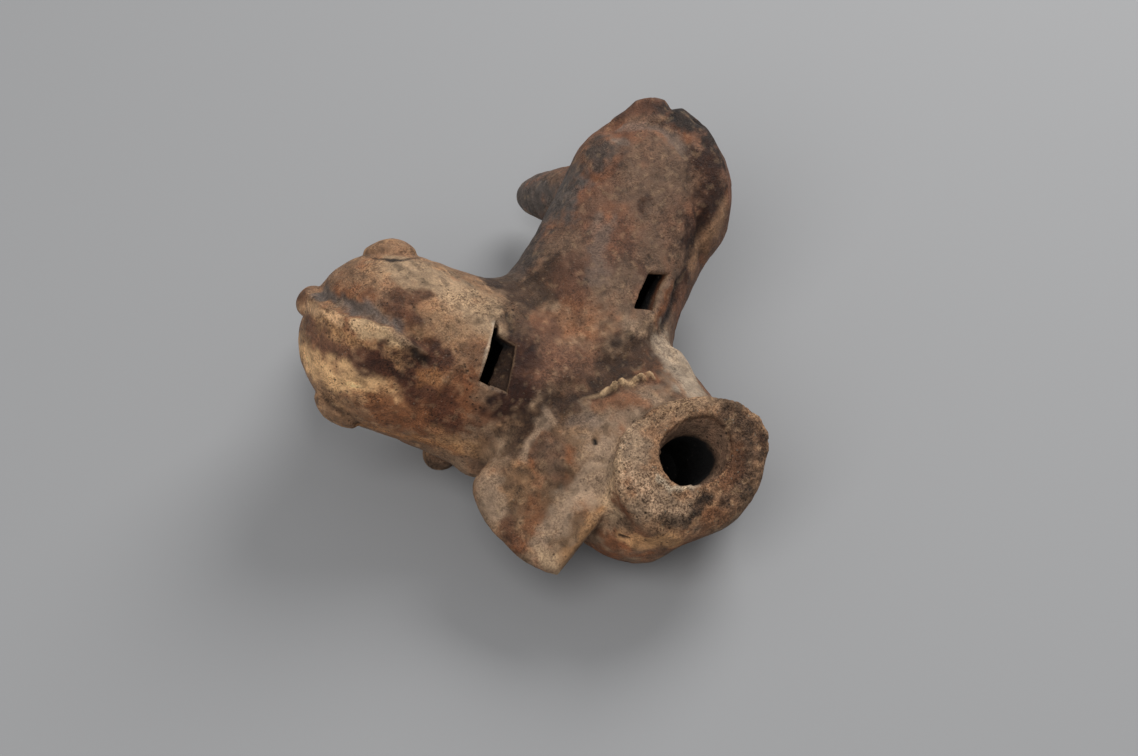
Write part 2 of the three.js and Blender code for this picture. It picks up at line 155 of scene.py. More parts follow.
def oval(across, upward, half_width, half_height, squareness):
    sides = np.abs(across / half_width) ** squareness + np.abs(upward / half_height) ** squareness
    return (sides ** (1.0 / squareness) - 1.0) * np.minimum(half_width, half_height)


def outline_distance(x, y, outline):
    """How far each point lies outside a closed outline in its plane, negative inside it."""
    count = len(outline)
    best = (x - outline[0][0]) ** 2 + (y - outline[0][1]) ** 2
    sign = np.ones(x.shape, dtype=np.float32)
    for i in range(count):
        ax, ay = outline[i]
        bx, by = outline[i - 1]
        ex, ey = bx - ax, by - ay
        wx, wy = x - ax, y - ay
        t = np.clip((wx * ex + wy * ey) / (ex * ex + ey * ey), 0.0, 1.0)
        best = np.minimum(best, (wx - ex * t) ** 2 + (wy - ey * t) ** 2)
        above = y >= ay
        below = y < by
        left = ex * wy > ey * wx
        sign = np.where((above & below & left) | (~above & ~below & ~left), -sign, sign)
    return sign * np.sqrt(best)


def plate(p, centre, axes, outline, half_thickness, rounding):
    """A flat slab with an outline in its first two axes and rounded edges."""
    q = (p - centre) @ axes
    flat = outline_distance(q[:, 0], q[:, 1], outline) + rounding
    deep = np.abs(q[:, 2]) - (half_thickness - rounding)
    outside = np.hypot(np.maximum(flat, 0.0), np.maximum(deep, 0.0))
    return outside + np.minimum(np.maximum(flat, deep), 0.0) - rounding


# Value noise on a lattice, the same on every run

def lattice(ix, iy, iz, seed):
    h = (ix * 374761393 + iy * 668265263 + iz * 1442695041 + seed * 974634777) & 0xFFFFFFFF
    h = ((h ^ (h >> 13)) * 1274126177) & 0xFFFFFFFF
    h = ((h ^ (h >> 15)) * 2246822519) & 0xFFFFFFFF
    return ((h ^ (h >> 16)) & 0xFFFFFF).astype(np.float32) / 0xFFFFFF


def noise(p, size, seed):
    """Smooth noise from -1 to 1 with features about size millimetres wide."""
    q = p / size + 1000.0
    cell = np.floor(q).astype(np.int64)
    f = (q - cell).astype(np.float32)
    f = f * f * f * (f * (f * 6.0 - 15.0) + 10.0)
    total = 0.0
    for dx in (0, 1):
        wx = f[:, 0] if dx else 1.0 - f[:, 0]
        for dy in (0, 1):
            wy = f[:, 1] if dy else 1.0 - f[:, 1]
            for dz in (0, 1):
                wz = f[:, 2] if dz else 1.0 - f[:, 2]
                corner = lattice(cell[:, 0] + dx, cell[:, 1] + dy, cell[:, 2] + dz, seed)
                total = total + wx * wy * wz * corner
    return total * 2.0 - 1.0


def layered_noise(p, size, seed, layers):
    total = 0.0
    share = 1.0
    for i in range(layers):
        total = total + share * noise(p, size / 2 ** i, seed + i)
        share *= 0.5
    return total


def fade(x, low, high):
    t = np.clip((x - low) / (high - low), 0.0, 1.0)
    return t * t * (3.0 - 2.0 * t)


# Sizes of the whistle

BODY_CENTRE = vec(0.0, 0.0, 13.6)
BODY_RADII = vec(16.5, 17.5, 14.0)
RUMP_CENTRE = vec(-1.3, -6.2, 11.6)
RUMP_RADII = vec(13.3, 14.8, 11.2)
WEB_RADIUS = 10.8
STUMP_TAPER = 1.4
STUMP_SHARE = 0.45
WALL = 3.0

SEAT = vec(2.2, -6.0, 10.8)
MOUTH_AXIS = unit(vec(0.02, -math.cos(math.radians(54.4)), math.sin(math.radians(54.4))))
MOUTH_LENGTH = 16.0
RIM_REACH = (14.3, 11.4, 11.0, 13.7, 14.4, 12.9, 11.6, 13.4)
RIM_ROUNDING = 1.8
RIM_ROLL = 3.4
SEAT_SHARE = 0.82
BORE_HALF = (5.1, 3.9)
MOUTH_HALF = (6.9, 5.3)
BORE_SHIFT = (0.2, 0.4)
MOUTH_SHIFT = (1.1, 1.3)
MOUTH_FLARE = 6.5
BORE_SQUARENESS = 2.2
BORE_DEPTH = 3.0

CREST_SINK = 1.6
CREST_HALF_THICKNESS = 2.7
CREST_HALF_DEPTH = 2.6
CREST_FRONT = math.radians(-30.0)
CREST_NAPE = math.radians(108.0)
BEAK_LENGTH = 18.6
BEAK_RADIUS = 5.8
BEAK_ROOT = 1.2
BEAK_DROP = 1.2
EYE_RADIUS = 4.5
OUTER_EYE_BULGE = 1.8
FLAT_EYE_BULGE = 1.5
WINDWAY_HALF_WIDTH = {"left": 4.0, "right": 1.2}
WINDWAY_HALF_HEIGHT = 0.9
WINDWAY_COVER = {"left": 3.6, "right": 1.3}
WINDWAY_SKIN = 1.2

WING_OUTLINE_FRONT = [(-5.2, -8.6), (6.0, -9.0)]
WING_CURVES = [
    ((6.0, -9.0), (12.8, -9.0), (13.9, 0.6)),
    ((13.9, 0.6), (14.2, 7.0), (11.1, 11.6)),
]
WING_OUTLINE_BACK = [(-5.2, 9.8)]
WING_HALF_THICKNESS = 1.5
WING_ROUNDING = 0.96
WING_BACK = 2.0
LEG_RADII = (3.9, 2.9)
LEG_FOOT_FLAT = 1.7

# How softly each lump of clay is blended into the rest
NECKS_SEAM = 8.0
BELLY_SEAM = 5.0
RUMP_SEAM = 4.0
WEB_SEAM = 3.0
STUMP_SEAM = 2.0
BEAK_SEAM = 2.0
LEG_SEAM = 2.0
EYE_SEAM = 0.3
FLAT_EYE_SEAM = 2.2


# Windows, [across, along the neck] from the middle of the neck's end
LEFT_WINDOW = [(6.8, 3.5), (1.1, 3.2), (-4.3, 3.3), (-4.7, 1.2), (3.3, 0.7), (4.2, 2.7)]
RIGHT_WINDOW = [(-2.4, 5.9), (1.4, 8.3), (1.6, 7.4), (1.4, 0.5), (-2.6, -1.7)]
LEFT_RAMP = [(3.9, 2.4), (-4.4, 2.2), (-4.6, -1.8), (3.4, -0.7)]
RAMP_START = -1.9
RAMP_STEP = 0.6
RAMP_SLOPE = 0.75

# Crests: how far each stands out, and where its two edges run, at angles round the head from the front.
# The left one has a sharp edge above a hollow and a gentle slope below. The right one has a notch
LEFT_CREST = {
    "angle": (-26, -12, 4, 16, 30, 60, 90, 104, 112, 117),
    "height": (0.0, 0.9, 2.2, 1.9, 1.5, 1.4, 1.5, 1.6, 1.1, 0.0),
    "sharp": (2.6, 2.8, 2.8, 2.1, 1.4, 1.2, 2.4, 1.9, 1.7, 1.6),
    "gentle": (-2.4, -2.4, -2.4, -3.6, -4.1, -3.9, -2.9, -2.2, -1.9, -1.8),
    "step": 9.0, "convex": 1.1, "dome_until": 20.0,
}
RIGHT_CREST = {
    "angle": (-24, -12, -4, 5, 15, 22, 27, 34, 50, 64, 80, 100, 127, 148),
    "height": (0.0, 0.2, 1.0, 2.3, 2.7, 2.5, 1.2, 2.1, 1.9, 1.5, 1.2, 0.9, 0.6, 0.0),
    "sharp": (-3.7, -3.7, -3.6, -3.4, -3.2, -2.9, -2.2, -2.0, -2.5, -3.3, -4.3, -4.8, -4.2, -2.8),
    "gentle": (4.2,) * 14,
    "step": 0.55, "convex": 0.3, "dome_until": -30.0,
}
CREST_EDGE = 1.2
CREST_HOLLOW = 0.6
CREST_MIDDLE = 0.8

# Places where the hand-modelled clay swells or shrinks: centre, reach and amount in mm
SWELLINGS = [
    (vec(-24.5, 10.5, 11.0), 6.0, 2.0),
    (vec(-26.5, 6.5, 16.5), 6.0, 1.4),
    (vec(-28.5, 0.5, 15.0), 5.0, 0.6),
    (vec(16.5, 8.0, 19.5), 6.0, -1.1),
    (vec(17.0, 2.5, 16.0), 8.0, -0.4),
    (vec(14.3, -1.8, 20.0), 5.0, -1.25),
    (vec(-1.5, -17.0, 5.2), 9.0, -1.1),
    (vec(-1.5, -19.5, 9.5), 7.0, -1.9),
    (vec(42.0, 31.0, 29.0), 9.0, 0.5),
    (vec(37.0, 22.5, 21.5), 7.0, 0.8),
    (vec(-5.0, 34.0, 29.5), 7.0, 0.45),
    (vec(-36.0, 41.0, 23.5), 9.0, 0.35),
]


def bird(**b):
    """Adds the directions that follow from a bird's own measures."""
    b["axis"] = unit(b["head"] - b["neck"])
    b["up"] = square_to(b["window_up"], b["axis"])
    b["tangent"] = np.cross(b["axis"], b["up"])
    b["crown"] = unit(b["crown"])
    b["nape"] = square_to(b["nape"], b["crown"])
    b["across"] = np.cross(b["crown"], b["nape"])
    b["beak"] = unit(b["beak"])
    b["eyes"] = (unit(b["inner_eye"]), b["inner_bulge"]), (unit(b["outer_eye"]), OUTER_EYE_BULGE)
    return b


LEFT = bird(
    side=-1, head=vec(-23.0, 33.9, 24.0), head_radius=15.0, neck=vec(-11.9, 22.5, 18.0), neck_radius=14.6,
    window=LEFT_WINDOW, window_up=vec(-0.10, -0.54, 0.84),
    crest=LEFT_CREST, crest_rise=2.4, crown=vec(-0.54, 0.80, 0.28), nape=vec(-0.28, -0.67, 0.69),
    beak=vec(0.256, 0.817, -0.518),
    inner_eye=vec(0.44, 0.63, 0.64), inner_bulge=2.1, outer_eye=vec(-0.90, -0.19, -0.38))
RIGHT = bird(
    side=1, head=vec(31.2, 35.3, 25.0), head_radius=14.0, neck=vec(9.8, 23.7, 19.0), neck_radius=14.0,
    window=RIGHT_WINDOW, window_up=vec(0.26, -0.77, 0.59),
    crest=RIGHT_CREST, crest_rise=2.6, crown=vec(0.19, 0.65, 0.74), nape=vec(0.51, -0.68, 0.52),
    beak=vec(-0.256, 0.817, -0.518),
    inner_eye=vec(-0.60, 0.29, 0.69), inner_bulge=1.1, outer_eye=vec(0.55, 0.25, -0.80))
BIRDS = {"left": LEFT, "right": RIGHT}

mouth_side = square_to(vec(1.0, 0.0, 0.0), MOUTH_AXIS)
mouth_axes = np.stack([mouth_side, np.cross(MOUTH_AXIS, mouth_side), MOUTH_AXIS], axis=1)
bore_end = SEAT - MOUTH_AXIS * BORE_DEPTH


# The lumps of clay

def belly_form(p):
    rump = ellipsoid(p, RUMP_CENTRE, RUMP_RADII)
    return smooth_min(ellipsoid(p, BODY_CENTRE, BODY_RADII), rump, RUMP_SEAM)


def web_form(p):
    middle = (LEFT["neck"] + RIGHT["neck"]) / 2
    return round_cone(p, BODY_CENTRE, middle, WEB_RADIUS, WEB_RADIUS)


def stump_form(p, b):
    root = BODY_CENTRE + (b["neck"] - BODY_CENTRE) * STUMP_SHARE
    return round_cone(p, root, b["neck"], b["neck_radius"] - STUMP_TAPER, b["neck_radius"])


def chamber_form(p, b):
    return round_cone(p, b["neck"], b["head"], b["neck_radius"], b["head_radius"])


def ahead_of_neck(p, b):
    return (p - b["neck"]) @ b["axis"]


def mouth_coordinates(p):
    q = (p - SEAT) @ mouth_axes
    return q[:, 0], q[:, 1], q[:, 2]


def reach_around(angle, reaches):
    """A smooth closed outline through reaches that are given at even steps round it."""
    count = len(reaches)
    steps = 2 * math.pi * np.arange(count) / count
    total = np.zeros_like(angle)
    for k in range(count // 2 + 1):
        wave = np.mean(np.array(reaches) * np.exp(-1j * k * steps))
        share = 1.0 if k in (0, count // 2) else 2.0
        total = total + share * (wave.real * np.cos(k * angle) - wave.imag * np.sin(k * angle))
    return total.astype(np.float32)


def mouthpiece_form(p):
    x, y, h = mouth_coordinates(p)
    t = np.clip(h / MOUTH_LENGTH, -0.3, 1.0)
    reach = reach_around(np.arctan2(y, x), RIM_REACH) * (SEAT_SHARE + (1.0 - SEAT_SHARE) * t)
    sides = (np.hypot(x, y) - reach) * 0.95
    rounding = RIM_ROUNDING + RIM_ROLL * fade(-y, 1.0, 8.0)
    return smooth_max(sides, np.maximum(h - MOUTH_LENGTH, -h - 4.0), rounding)


def crest_form(p, b):
    q = p - b["head"]
    shift = b["crest_rise"] + CREST_SINK - CREST_HALF_DEPTH
    radius = b["head_radius"] - CREST_SINK
    x = q @ b["crown"] - shift
    y = q @ b["nape"]
    z = q @ b["across"]
    angle = np.clip(np.arctan2(y, x), CREST_FRONT, CREST_NAPE)
    away = np.hypot(x - radius * np.cos(angle), y - radius * np.sin(angle))
    k = np.hypot(away / CREST_HALF_DEPTH, z / CREST_HALF_THICKNESS)
    return (k - 1.0) * CREST_HALF_THICKNESS


def crest_relief(p, b):
    """How far the head's surface is raised by its crest, or hollowed beside it."""
    q = p - b["head"]
    x, y, z = q @ b["crown"], q @ b["nape"], q @ b["across"]
    angle = np.degrees(np.arctan2(y, x))
    crest = b["crest"]
    height = np.interp(angle, crest["angle"], crest["height"])
    sharp = np.interp(angle, crest["angle"], crest["sharp"])
    gentle = np.interp(angle, crest["angle"], crest["gentle"])
    out = np.sign(gentle - sharp)
    past = (z - sharp) * out
    step = np.minimum(height, crest["step"])
    rise = step + (height - step) * fade(past, 0.0, np.abs(CREST_MIDDLE - sharp))
    slope = fade((gentle - z) * out, -0.3, crest["convex"] * np.abs(gentle - sharp))
    raised = rise * fade(past, -CREST_EDGE / 2, CREST_EDGE / 2) * slope
    dome = height * np.sqrt(np.clip(1.0 - ((z - 0.4) / 2.7) ** 2, 0.0, 1.0))
    raised = raised + (dome - raised) * (1.0 - fade(angle, crest["dome_until"] - 12.0, crest["dome_until"]))
    shown = fade(height, 0.0, 0.3) * (1.0 - fade(height, 1.8, 2.3))
    hollow = CREST_HOLLOW * np.exp(-((past + 1.3) / 1.1) ** 2) * shown
    near_head = 1.0 - fade(np.abs(np.linalg.norm(q, axis=-1) - b["head_radius"]), 5.0, 7.0)
    return ((raised - hollow) * near_head).astype(np.float32)


def beak_form(p, b):
    root = b["head"] + b["beak"] * (b["head_radius"] - BEAK_ROOT) - vec(0.0, 0.0, BEAK_DROP)
    side = square_to(b["crown"], b["beak"])
    axes = np.stack([side, np.cross(b["beak"], side), b["beak"]], axis=1)
    radii = vec(BEAK_RADIUS, BEAK_RADIUS, BEAK_LENGTH + BEAK_ROOT)
    return ellipsoid(p, root, radii, axes)


def eye_form(p, b, which):
    way, bulge = b["eyes"][which]
    radius = (EYE_RADIUS ** 2 + bulge ** 2) / (2.0 * bulge)
    q = p - b["head"]
    out = q @ way
    dome = np.linalg.norm(q - way * (b["head_radius"] + bulge - radius), axis=-1) - radius
    sides = np.linalg.norm(q - out[:, None] * way, axis=-1) - EYE_RADIUS
    return smooth_max(smooth_max(dome, sides, 0.6), b["head_radius"] - bulge - out, 0.3)


def curve_points(start, pull, end, count=6):
    points = []
    for i in range(1, count + 1):
        t = i / count
        points.append(tuple(
            (1 - t) ** 2 * start[k] + 2 * t * (1 - t) * pull[k] + t * t * end[k] for k in (0, 1)))
    return points


wing_outline = list(WING_OUTLINE_FRONT)
for curve in WING_CURVES:
    wing_outline += curve_points(*curve)
wing_outline += WING_OUTLINE_BACK


def wing_frame(side, rise, droop, sink):
    """A wing's root on the belly's flank, and its axes: outward, aft and through its thickness."""
    aft = unit(vec(-side * 0.14, -1.0, -0.27))
    level = square_to(np.cross(aft, vec(0.0, 0.0, 1.0)), aft)
    if level[0] * side < 0:
        level = -level
    down = unit(np.cross(level, aft))
    if down[2] > 0:
        down = -down
    outward = level * math.cos(droop) + down * math.sin(droop)
    girth = math.sqrt(1.0 - (WING_BACK / BODY_RADII[1]) ** 2)
    root = BODY_CENTRE + vec(
        side * (girth * BODY_RADII[0] * math.cos(rise) - sink), -WING_BACK,
        girth * BODY_RADII[2] * math.sin(rise))
    return root, np.stack([outward, aft, np.cross(outward, aft)], axis=1)


WING_FRAMES = {
    "left": wing_frame(-1, math.radians(24.8), math.radians(25.0), 0.0),
    "right": wing_frame(1, math.radians(10.0), math.radians(70.0), 2.0),
}


def wing_form(p, name):
    root, axes = WING_FRAMES[name]
    return plate(p, root, axes, wing_outline, WING_HALF_THICKNESS, WING_ROUNDING)


def leg_form(p, b):
    down = unit(vec(b["side"] * 0.5, 0.16, -1.0))
    top = b["neck"] + down * (b["neck_radius"] - LEG_RADII[0])
    foot = top + down * ((top[2] - LEG_RADII[1] + LEG_FOOT_FLAT) / -down[2])
    return round_cone(p, top, foot, LEG_RADII[0], LEG_RADII[1])


def near(p, centre, reach):
    return np.sum((p - centre) ** 2, axis=-1) < reach * reach


def blended(d, p, centre, reach, form, k):
    """Adds a form to the clay where it can matter, with a soft or a sharp seam."""
    mask = near(p, centre, reach)
    if not mask.any():
        return d
    part = form(p[mask])
    seam = k(p[mask]) if callable(k) else k
    d = d.copy()
    d[mask] = smooth_min(d[mask], part, seam)
    return d


def wing_seam(p, name):
    root, axes = WING_FRAMES[name]
    aft = (p - root) @ axes[:, 1]
    return 4.5 - 3.9 * fade(aft, 2.0, 7.5)


def mouth_seam(p):
    x, y, h = mouth_coordinates(p)
    return 3.4 - 1.9 * fade(y + 0.3 * x, 0.0, 7.0) + 4.2 * fade(-y, 1.0, 7.0)


def chamber_share(p, b):
    return np.maximum(chamber_form(p, b), -ahead_of_neck(p, b))


def body_share(p):
    d = np.minimum(belly_form(p), web_form(p))
    for b in BIRDS.values():
        d = np.minimum(d, np.maximum(stump_form(p, b), ahead_of_neck(p, b)))
    return d


# Each piece's own form, which also settles where one piece ends and the next begins
SHARES = {"body": body_share, "mouthpiece": mouthpiece_form}
for name, b in BIRDS.items():
    SHARES["chamber_" + name] = partial(chamber_share, b=b)
    SHARES["crest_" + name] = partial(crest_form, b=b)
    SHARES["beak_" + name] = partial(beak_form, b=b)
    SHARES["eye_" + name + "_inner"] = partial(eye_form, b=b, which=0)
    SHARES["eye_" + name + "_outer"] = partial(eye_form, b=b, which=1)
    SHARES["wing_" + name] = partial(wing_form, name=name)
    SHARES["leg_" + name] = partial(leg_form, b=b)


def skin(p):
    """The outer surface of the fired clay, with every lump luted on."""
    necks = smooth_min(chamber_form(p, LEFT), chamber_form(p, RIGHT), NECKS_SEAM)
    d = smooth_min(belly_form(p), necks, BELLY_SEAM)
    d = smooth_min(d, np.minimum(stump_form(p, LEFT), stump_form(p, RIGHT)), STUMP_SEAM)
    d = smooth_min(d, web_form(p), WEB_SEAM)
    d = blended(d, p, SEAT + MOUTH_AXIS * 7, 30.0, mouthpiece_form, mouth_seam)
    for name, b in BIRDS.items():
        head = near(p, b["head"], b["head_radius"] + 7.0)
        if head.any():
            d = d.copy()
            d[head] -= crest_relief(p[head], b)
        d = blended(d, p, b["head"] + b["beak"] * 22, 20.0, SHARES["beak_" + name], BEAK_SEAM)
        wing_at = WING_FRAMES[name][0]
        d = blended(d, p, wing_at, 26.0, SHARES["wing_" + name], partial(wing_seam, name=name))
        d = blended(d, p, b["neck"] + vec(0.0, 0.0, -14.0), 16.0, SHARES["leg_" + name], LEG_SEAM)
        for which, (way, bulge) in zip(("_inner", "_outer"), b["eyes"]):
            seam = FLAT_EYE_SEAM if bulge < FLAT_EYE_BULGE else EYE_SEAM
            d = blended(d, p, b["head"] + way * b["head_radius"], 10.0, SHARES["eye_" + name + which], seam)
    for centre, reach, amount in SWELLINGS:
        away = np.sum((p - centre) ** 2, axis=-1) / (reach * reach)
        d = d - amount * np.exp(-2.0 * away)
    return np.maximum(d, -p[:, 2])


# The air inside

def part_way(start, end, t):
    return [a + (b - a) * t for a, b in zip(start, end)]


def bore_form(p):
    """The blow hole, which flares towards its mouth."""
    x, y, h = mouth_coordinates(p)
    t = np.clip((h - MOUTH_LENGTH + MOUTH_FLARE) / MOUTH_FLARE, 0.0, 1.3) ** 2
    shift = part_way(BORE_SHIFT, MOUTH_SHIFT, t)
    half = part_way(BORE_HALF, MOUTH_HALF, t)
    return np.maximum(oval(x - shift[0], y - shift[1], *half, BORE_SQUARENESS), -BORE_DEPTH - h)


def hollow_form(p, b):
    inside = round_cone(p, b["neck"], b["head"], b["neck_radius"] - WALL, b["head_radius"] - WALL)
    return np.maximum(inside, -ahead_of_neck(p, b) - 0.5)


def window_form(p, b):
    q = p - b["neck"]
    across, along, upward = q @ b["tangent"], q @ b["axis"], q @ b["up"]
    d = np.maximum(outline_distance(across, along, b["window"]), b["neck_radius"] - 6.0 - upward)
    if b["side"] < 0:
        floor = b["neck_radius"] - RAMP_STEP - RAMP_SLOPE * (along - RAMP_START)
        ramp = np.maximum(outline_distance(across, along, LEFT_RAMP), (floor - upward) * 0.8)
        d = np.minimum(d, ramp)
    return d


def windway_form(p, b, name):
    """A flat duct from the blow hole's end to just behind a window."""
    rise = b["neck_radius"] - WINDWAY_COVER[name] - WINDWAY_HALF_HEIGHT
    exit_at = b["neck"] + b["up"] * rise + b["axis"] * 0.3
    along = unit(exit_at - bore_end)
    side = square_to(b["tangent"], along)
    axes = np.stack([side, along, np.cross(side, along)], axis=1)
    half = vec(WINDWAY_HALF_WIDTH[name], np.linalg.norm(exit_at - bore_end) / 2, WINDWAY_HALF_HEIGHT)
    return brick(p, (exit_at + bore_end) / 2, axes, half, 0.2)


def clay(p):
    """The skin less the air: the windways stay at least WINDWAY_SKIN below it."""
    outer = skin(p)
    air = bore_form(p)
    for name, b in BIRDS.items():
        windway = np.maximum(windway_form(p, b, name), outer + WINDWAY_SKIN)
        air = np.minimum(air, np.minimum(hollow_form(p, b), np.minimum(window_form(p, b), windway)))
    return smooth_max(outer, -air, 0.35)


# The pieces that each piece touches

NEIGHBOURS = {
    "body": ["mouthpiece"] + [kind + name for kind in ("chamber_", "wing_", "leg_") for name in BIRDS],
    "mouthpiece": ["body", "wing_left", "wing_right"],
    "chamber_left": ["chamber_right"],
    "chamber_right": ["chamber_left"],
}
for name in BIRDS:
    chamber = "chamber_" + name
    head_parts = ["crest_" + name, "beak_" + name, "eye_" + name + "_inner", "eye_" + name + "_outer"]
    NEIGHBOURS[chamber] += ["body", "leg_" + name, "wing_" + name] + head_parts
    for part in head_parts:
        NEIGHBOURS[part] = [chamber] + [other for other in head_parts if other != part]
    NEIGHBOURS["wing_" + name] = ["body", "mouthpiece", chamber]
    NEIGHBOURS["leg_" + name] = ["body", chamber]

SEAM_SLOPE = 0.18
SEAM_TUCK = 1.6


def piece_field(name):
    own = SHARES[name]
    others = [SHARES[n] for n in NEIGHBOURS[name]]

    def field(p):
        d = clay(p)
        past = own(p) - np.min([other(p) for other in others], axis=0)
        return np.maximum(d + SEAM_SLOPE * np.maximum(past, 0.0), 0.5 * (past - SEAM_TUCK))
    return field


# From a field to a mesh

CORNERS = np.array([(x, y, z) for x in (0, 1) for y in (0, 1) for z in (0, 1)])
CELL_EDGES = [(a, b) for a in range(8) for b in range(a + 1, 8)
              if np.abs(CORNERS[a] - CORNERS[b]).sum() == 1]


def sample(field, low, high, step):
    """Samples the field on a grid, closely only in the blocks near its surface."""
    side = step * BLOCK
    blocks = np.ceil((high - low) / side).astype(int)
    index = np.argwhere(np.ones(blocks, dtype=bool))
    centres = (low + (index + 0.5) * side).astype(np.float32)
    rough = field(centres)
    reach = side * HALF_DIAGONAL * FIELD_SLACK + FIELD_MARGIN
    values = np.repeat(np.repeat(np.repeat(rough.reshape(blocks), BLOCK, 0), BLOCK, 1), BLOCK, 2)
    cube = np.argwhere(np.ones((BLOCK,) * 3, dtype=bool))
    close = index[np.abs(rough) < reach]
    for start in range(0, len(close), BATCH):
        cells = (close[start:start + BATCH, None, :] * BLOCK + cube[None, :, :]).reshape(-1, 3)
        values[cells[:, 0], cells[:, 1], cells[:, 2]] = field((low + cells * step).astype(np.float32))
    return values


def surface_net(values, low, step):
    """One point in each cell that the surface crosses, and a face across each crossed grid line."""
    inside = values < 0.0
    shape = np.array(values.shape) - 1
    count = np.zeros(shape, dtype=np.int8)
    for x, y, z in CORNERS:
        count += inside[x:x + shape[0], y:y + shape[1], z:z + shape[2]]
    cells = np.argwhere((count > 0) & (count < 8))
    at = cells[:, None, :] + CORNERS[None, :, :]
    corner = values[at[..., 0], at[..., 1], at[..., 2]]
    total = np.zeros((len(cells), 3))
    hits = np.zeros(len(cells))
    for a, b in CELL_EDGES:
        va, vb = corner[:, a], corner[:, b]
        crossed = (va < 0.0) != (vb < 0.0)
        t = np.where(crossed, va / np.where(crossed, va - vb, 1.0), 0.0)
        point = CORNERS[a] + t[:, None] * (CORNERS[b] - CORNERS[a])
        total += point * crossed[:, None]
        hits += crossed
    verts = low + step * (cells + total / hits[:, None])
    number = np.full(shape, -1, dtype=np.int64)
    number[cells[:, 0], cells[:, 1], cells[:, 2]] = np.arange(len(cells))
    quads = []
    for axis in range(3):
        first, second = (axis + 1) % 3, (axis + 2) % 3
        start = [slice(1, -1)] * 3
        start[axis] = slice(0, -1)
        end = list(start)
        end[axis] = slice(1, None)
        a = inside[tuple(start)]
        b = inside[tuple(end)]
        for flipped, mask in ((False, a & ~b), (True, ~a & b)):
            offset = np.ones(3, dtype=int)
            offset[axis] = 0
            base = np.argwhere(mask) + offset
            ring = []
            for du, dv in ((0, 0), (1, 0), (1, 1), (0, 1)):
                cell = base.copy()
                cell[:, first] -= du
                cell[:, second] -= dv
                ring.append(number[cell[:, 0], cell[:, 1], cell[:, 2]])
            quad = np.stack(ring, axis=1)
            quads.append(quad[:, ::-1] if flipped else quad)
    return verts, np.concatenate(quads)


def gradient(field, p, e=0.08):
    """The field's direction of rise at each point, and how steep it is."""
    p = p.astype(np.float32)
    steps = np.eye(3, dtype=np.float32) * e
    parts = [(field(p + steps[k]) - field(p - steps[k])) / (2 * e) for k in range(3)]
    g = np.stack(parts, axis=1)
    steep = np.linalg.norm(g, axis=1, keepdims=True) + 1e-6
    return g / steep, steep[:, 0]


def settle(field, verts):
    """Moves the points on to the surface, a little at a time."""
    for _ in range(2):
        p = verts.astype(np.float32)
        way, steep = gradient(field, p)
        verts = verts - way * np.clip(field(p) / np.maximum(steep, 0.5), -0.12, 0.12)[:, None] * 0.8
    return verts


def on_surface(points):
    """Follows the rays through the photograph's pixels down to the clay."""
    rays = np.array([pixel_ray(u, v) for u, v in points], dtype=np.float32)
    travel = np.full(len(points), CAMERA_DISTANCE - 60.0, dtype=np.float32)
    for _ in range(120):
        travel += skin((camera_at + rays * travel[:, None]).astype(np.float32)) * 0.7
    return camera_at + rays * travel[:, None]


# Clay colours, as seen in daylight

def srgb(red, green, blue):
    c = np.array((red, green, blue)) / 255.0
    return np.where(c <= 0.04045, c / 12.92, ((c + 0.055) / 1.055) ** 2.4).astype(np.float32)


PALE = srgb(174, 146, 116)
RIDGE_TAN = srgb(196, 158, 120)
TAN = srgb(156, 120, 88)
GREY_TAN = srgb(142, 116, 92)
YELLOW_TAN = srgb(206, 164, 118)
ORANGE_TAN = srgb(176, 122, 78)
ORANGE_BROWN = srgb(134, 82, 50)
RED_BROWN = srgb(112, 76, 57)
BROWN = srgb(102, 66, 45)
DARK_BROWN = srgb(76, 45, 30)
# Soot smudges on the rim, and painted shade in creases, notches, folds, cracks and dents
SOOT_AND_SHADE = srgb(46, 32, 24)
BLACK = srgb(10, 8, 7)
SLATE = srgb(76, 68, 63)
# Grey clay, and painted sheen on the right head and neck
GREY_AND_SHEEN = srgb(120, 103, 91)
GREY_BROWN = srgb(108, 84, 67)
CRUMB = srgb(198, 166, 128)
CHALK = srgb(196, 180, 158)
PINK_GREY = srgb(164, 138, 114)
BARK = srgb(82, 58, 42)
GOLD = srgb(162, 122, 84)
BROWN_TAN = srgb(140, 106, 79)
RICH_BROWN = srgb(112, 69, 42)
# Pale clay with a painted highlight, for the lit right flank
PALE_LIT_CLAY = srgb(178, 158, 136)
EARTH = srgb(84, 48, 32)
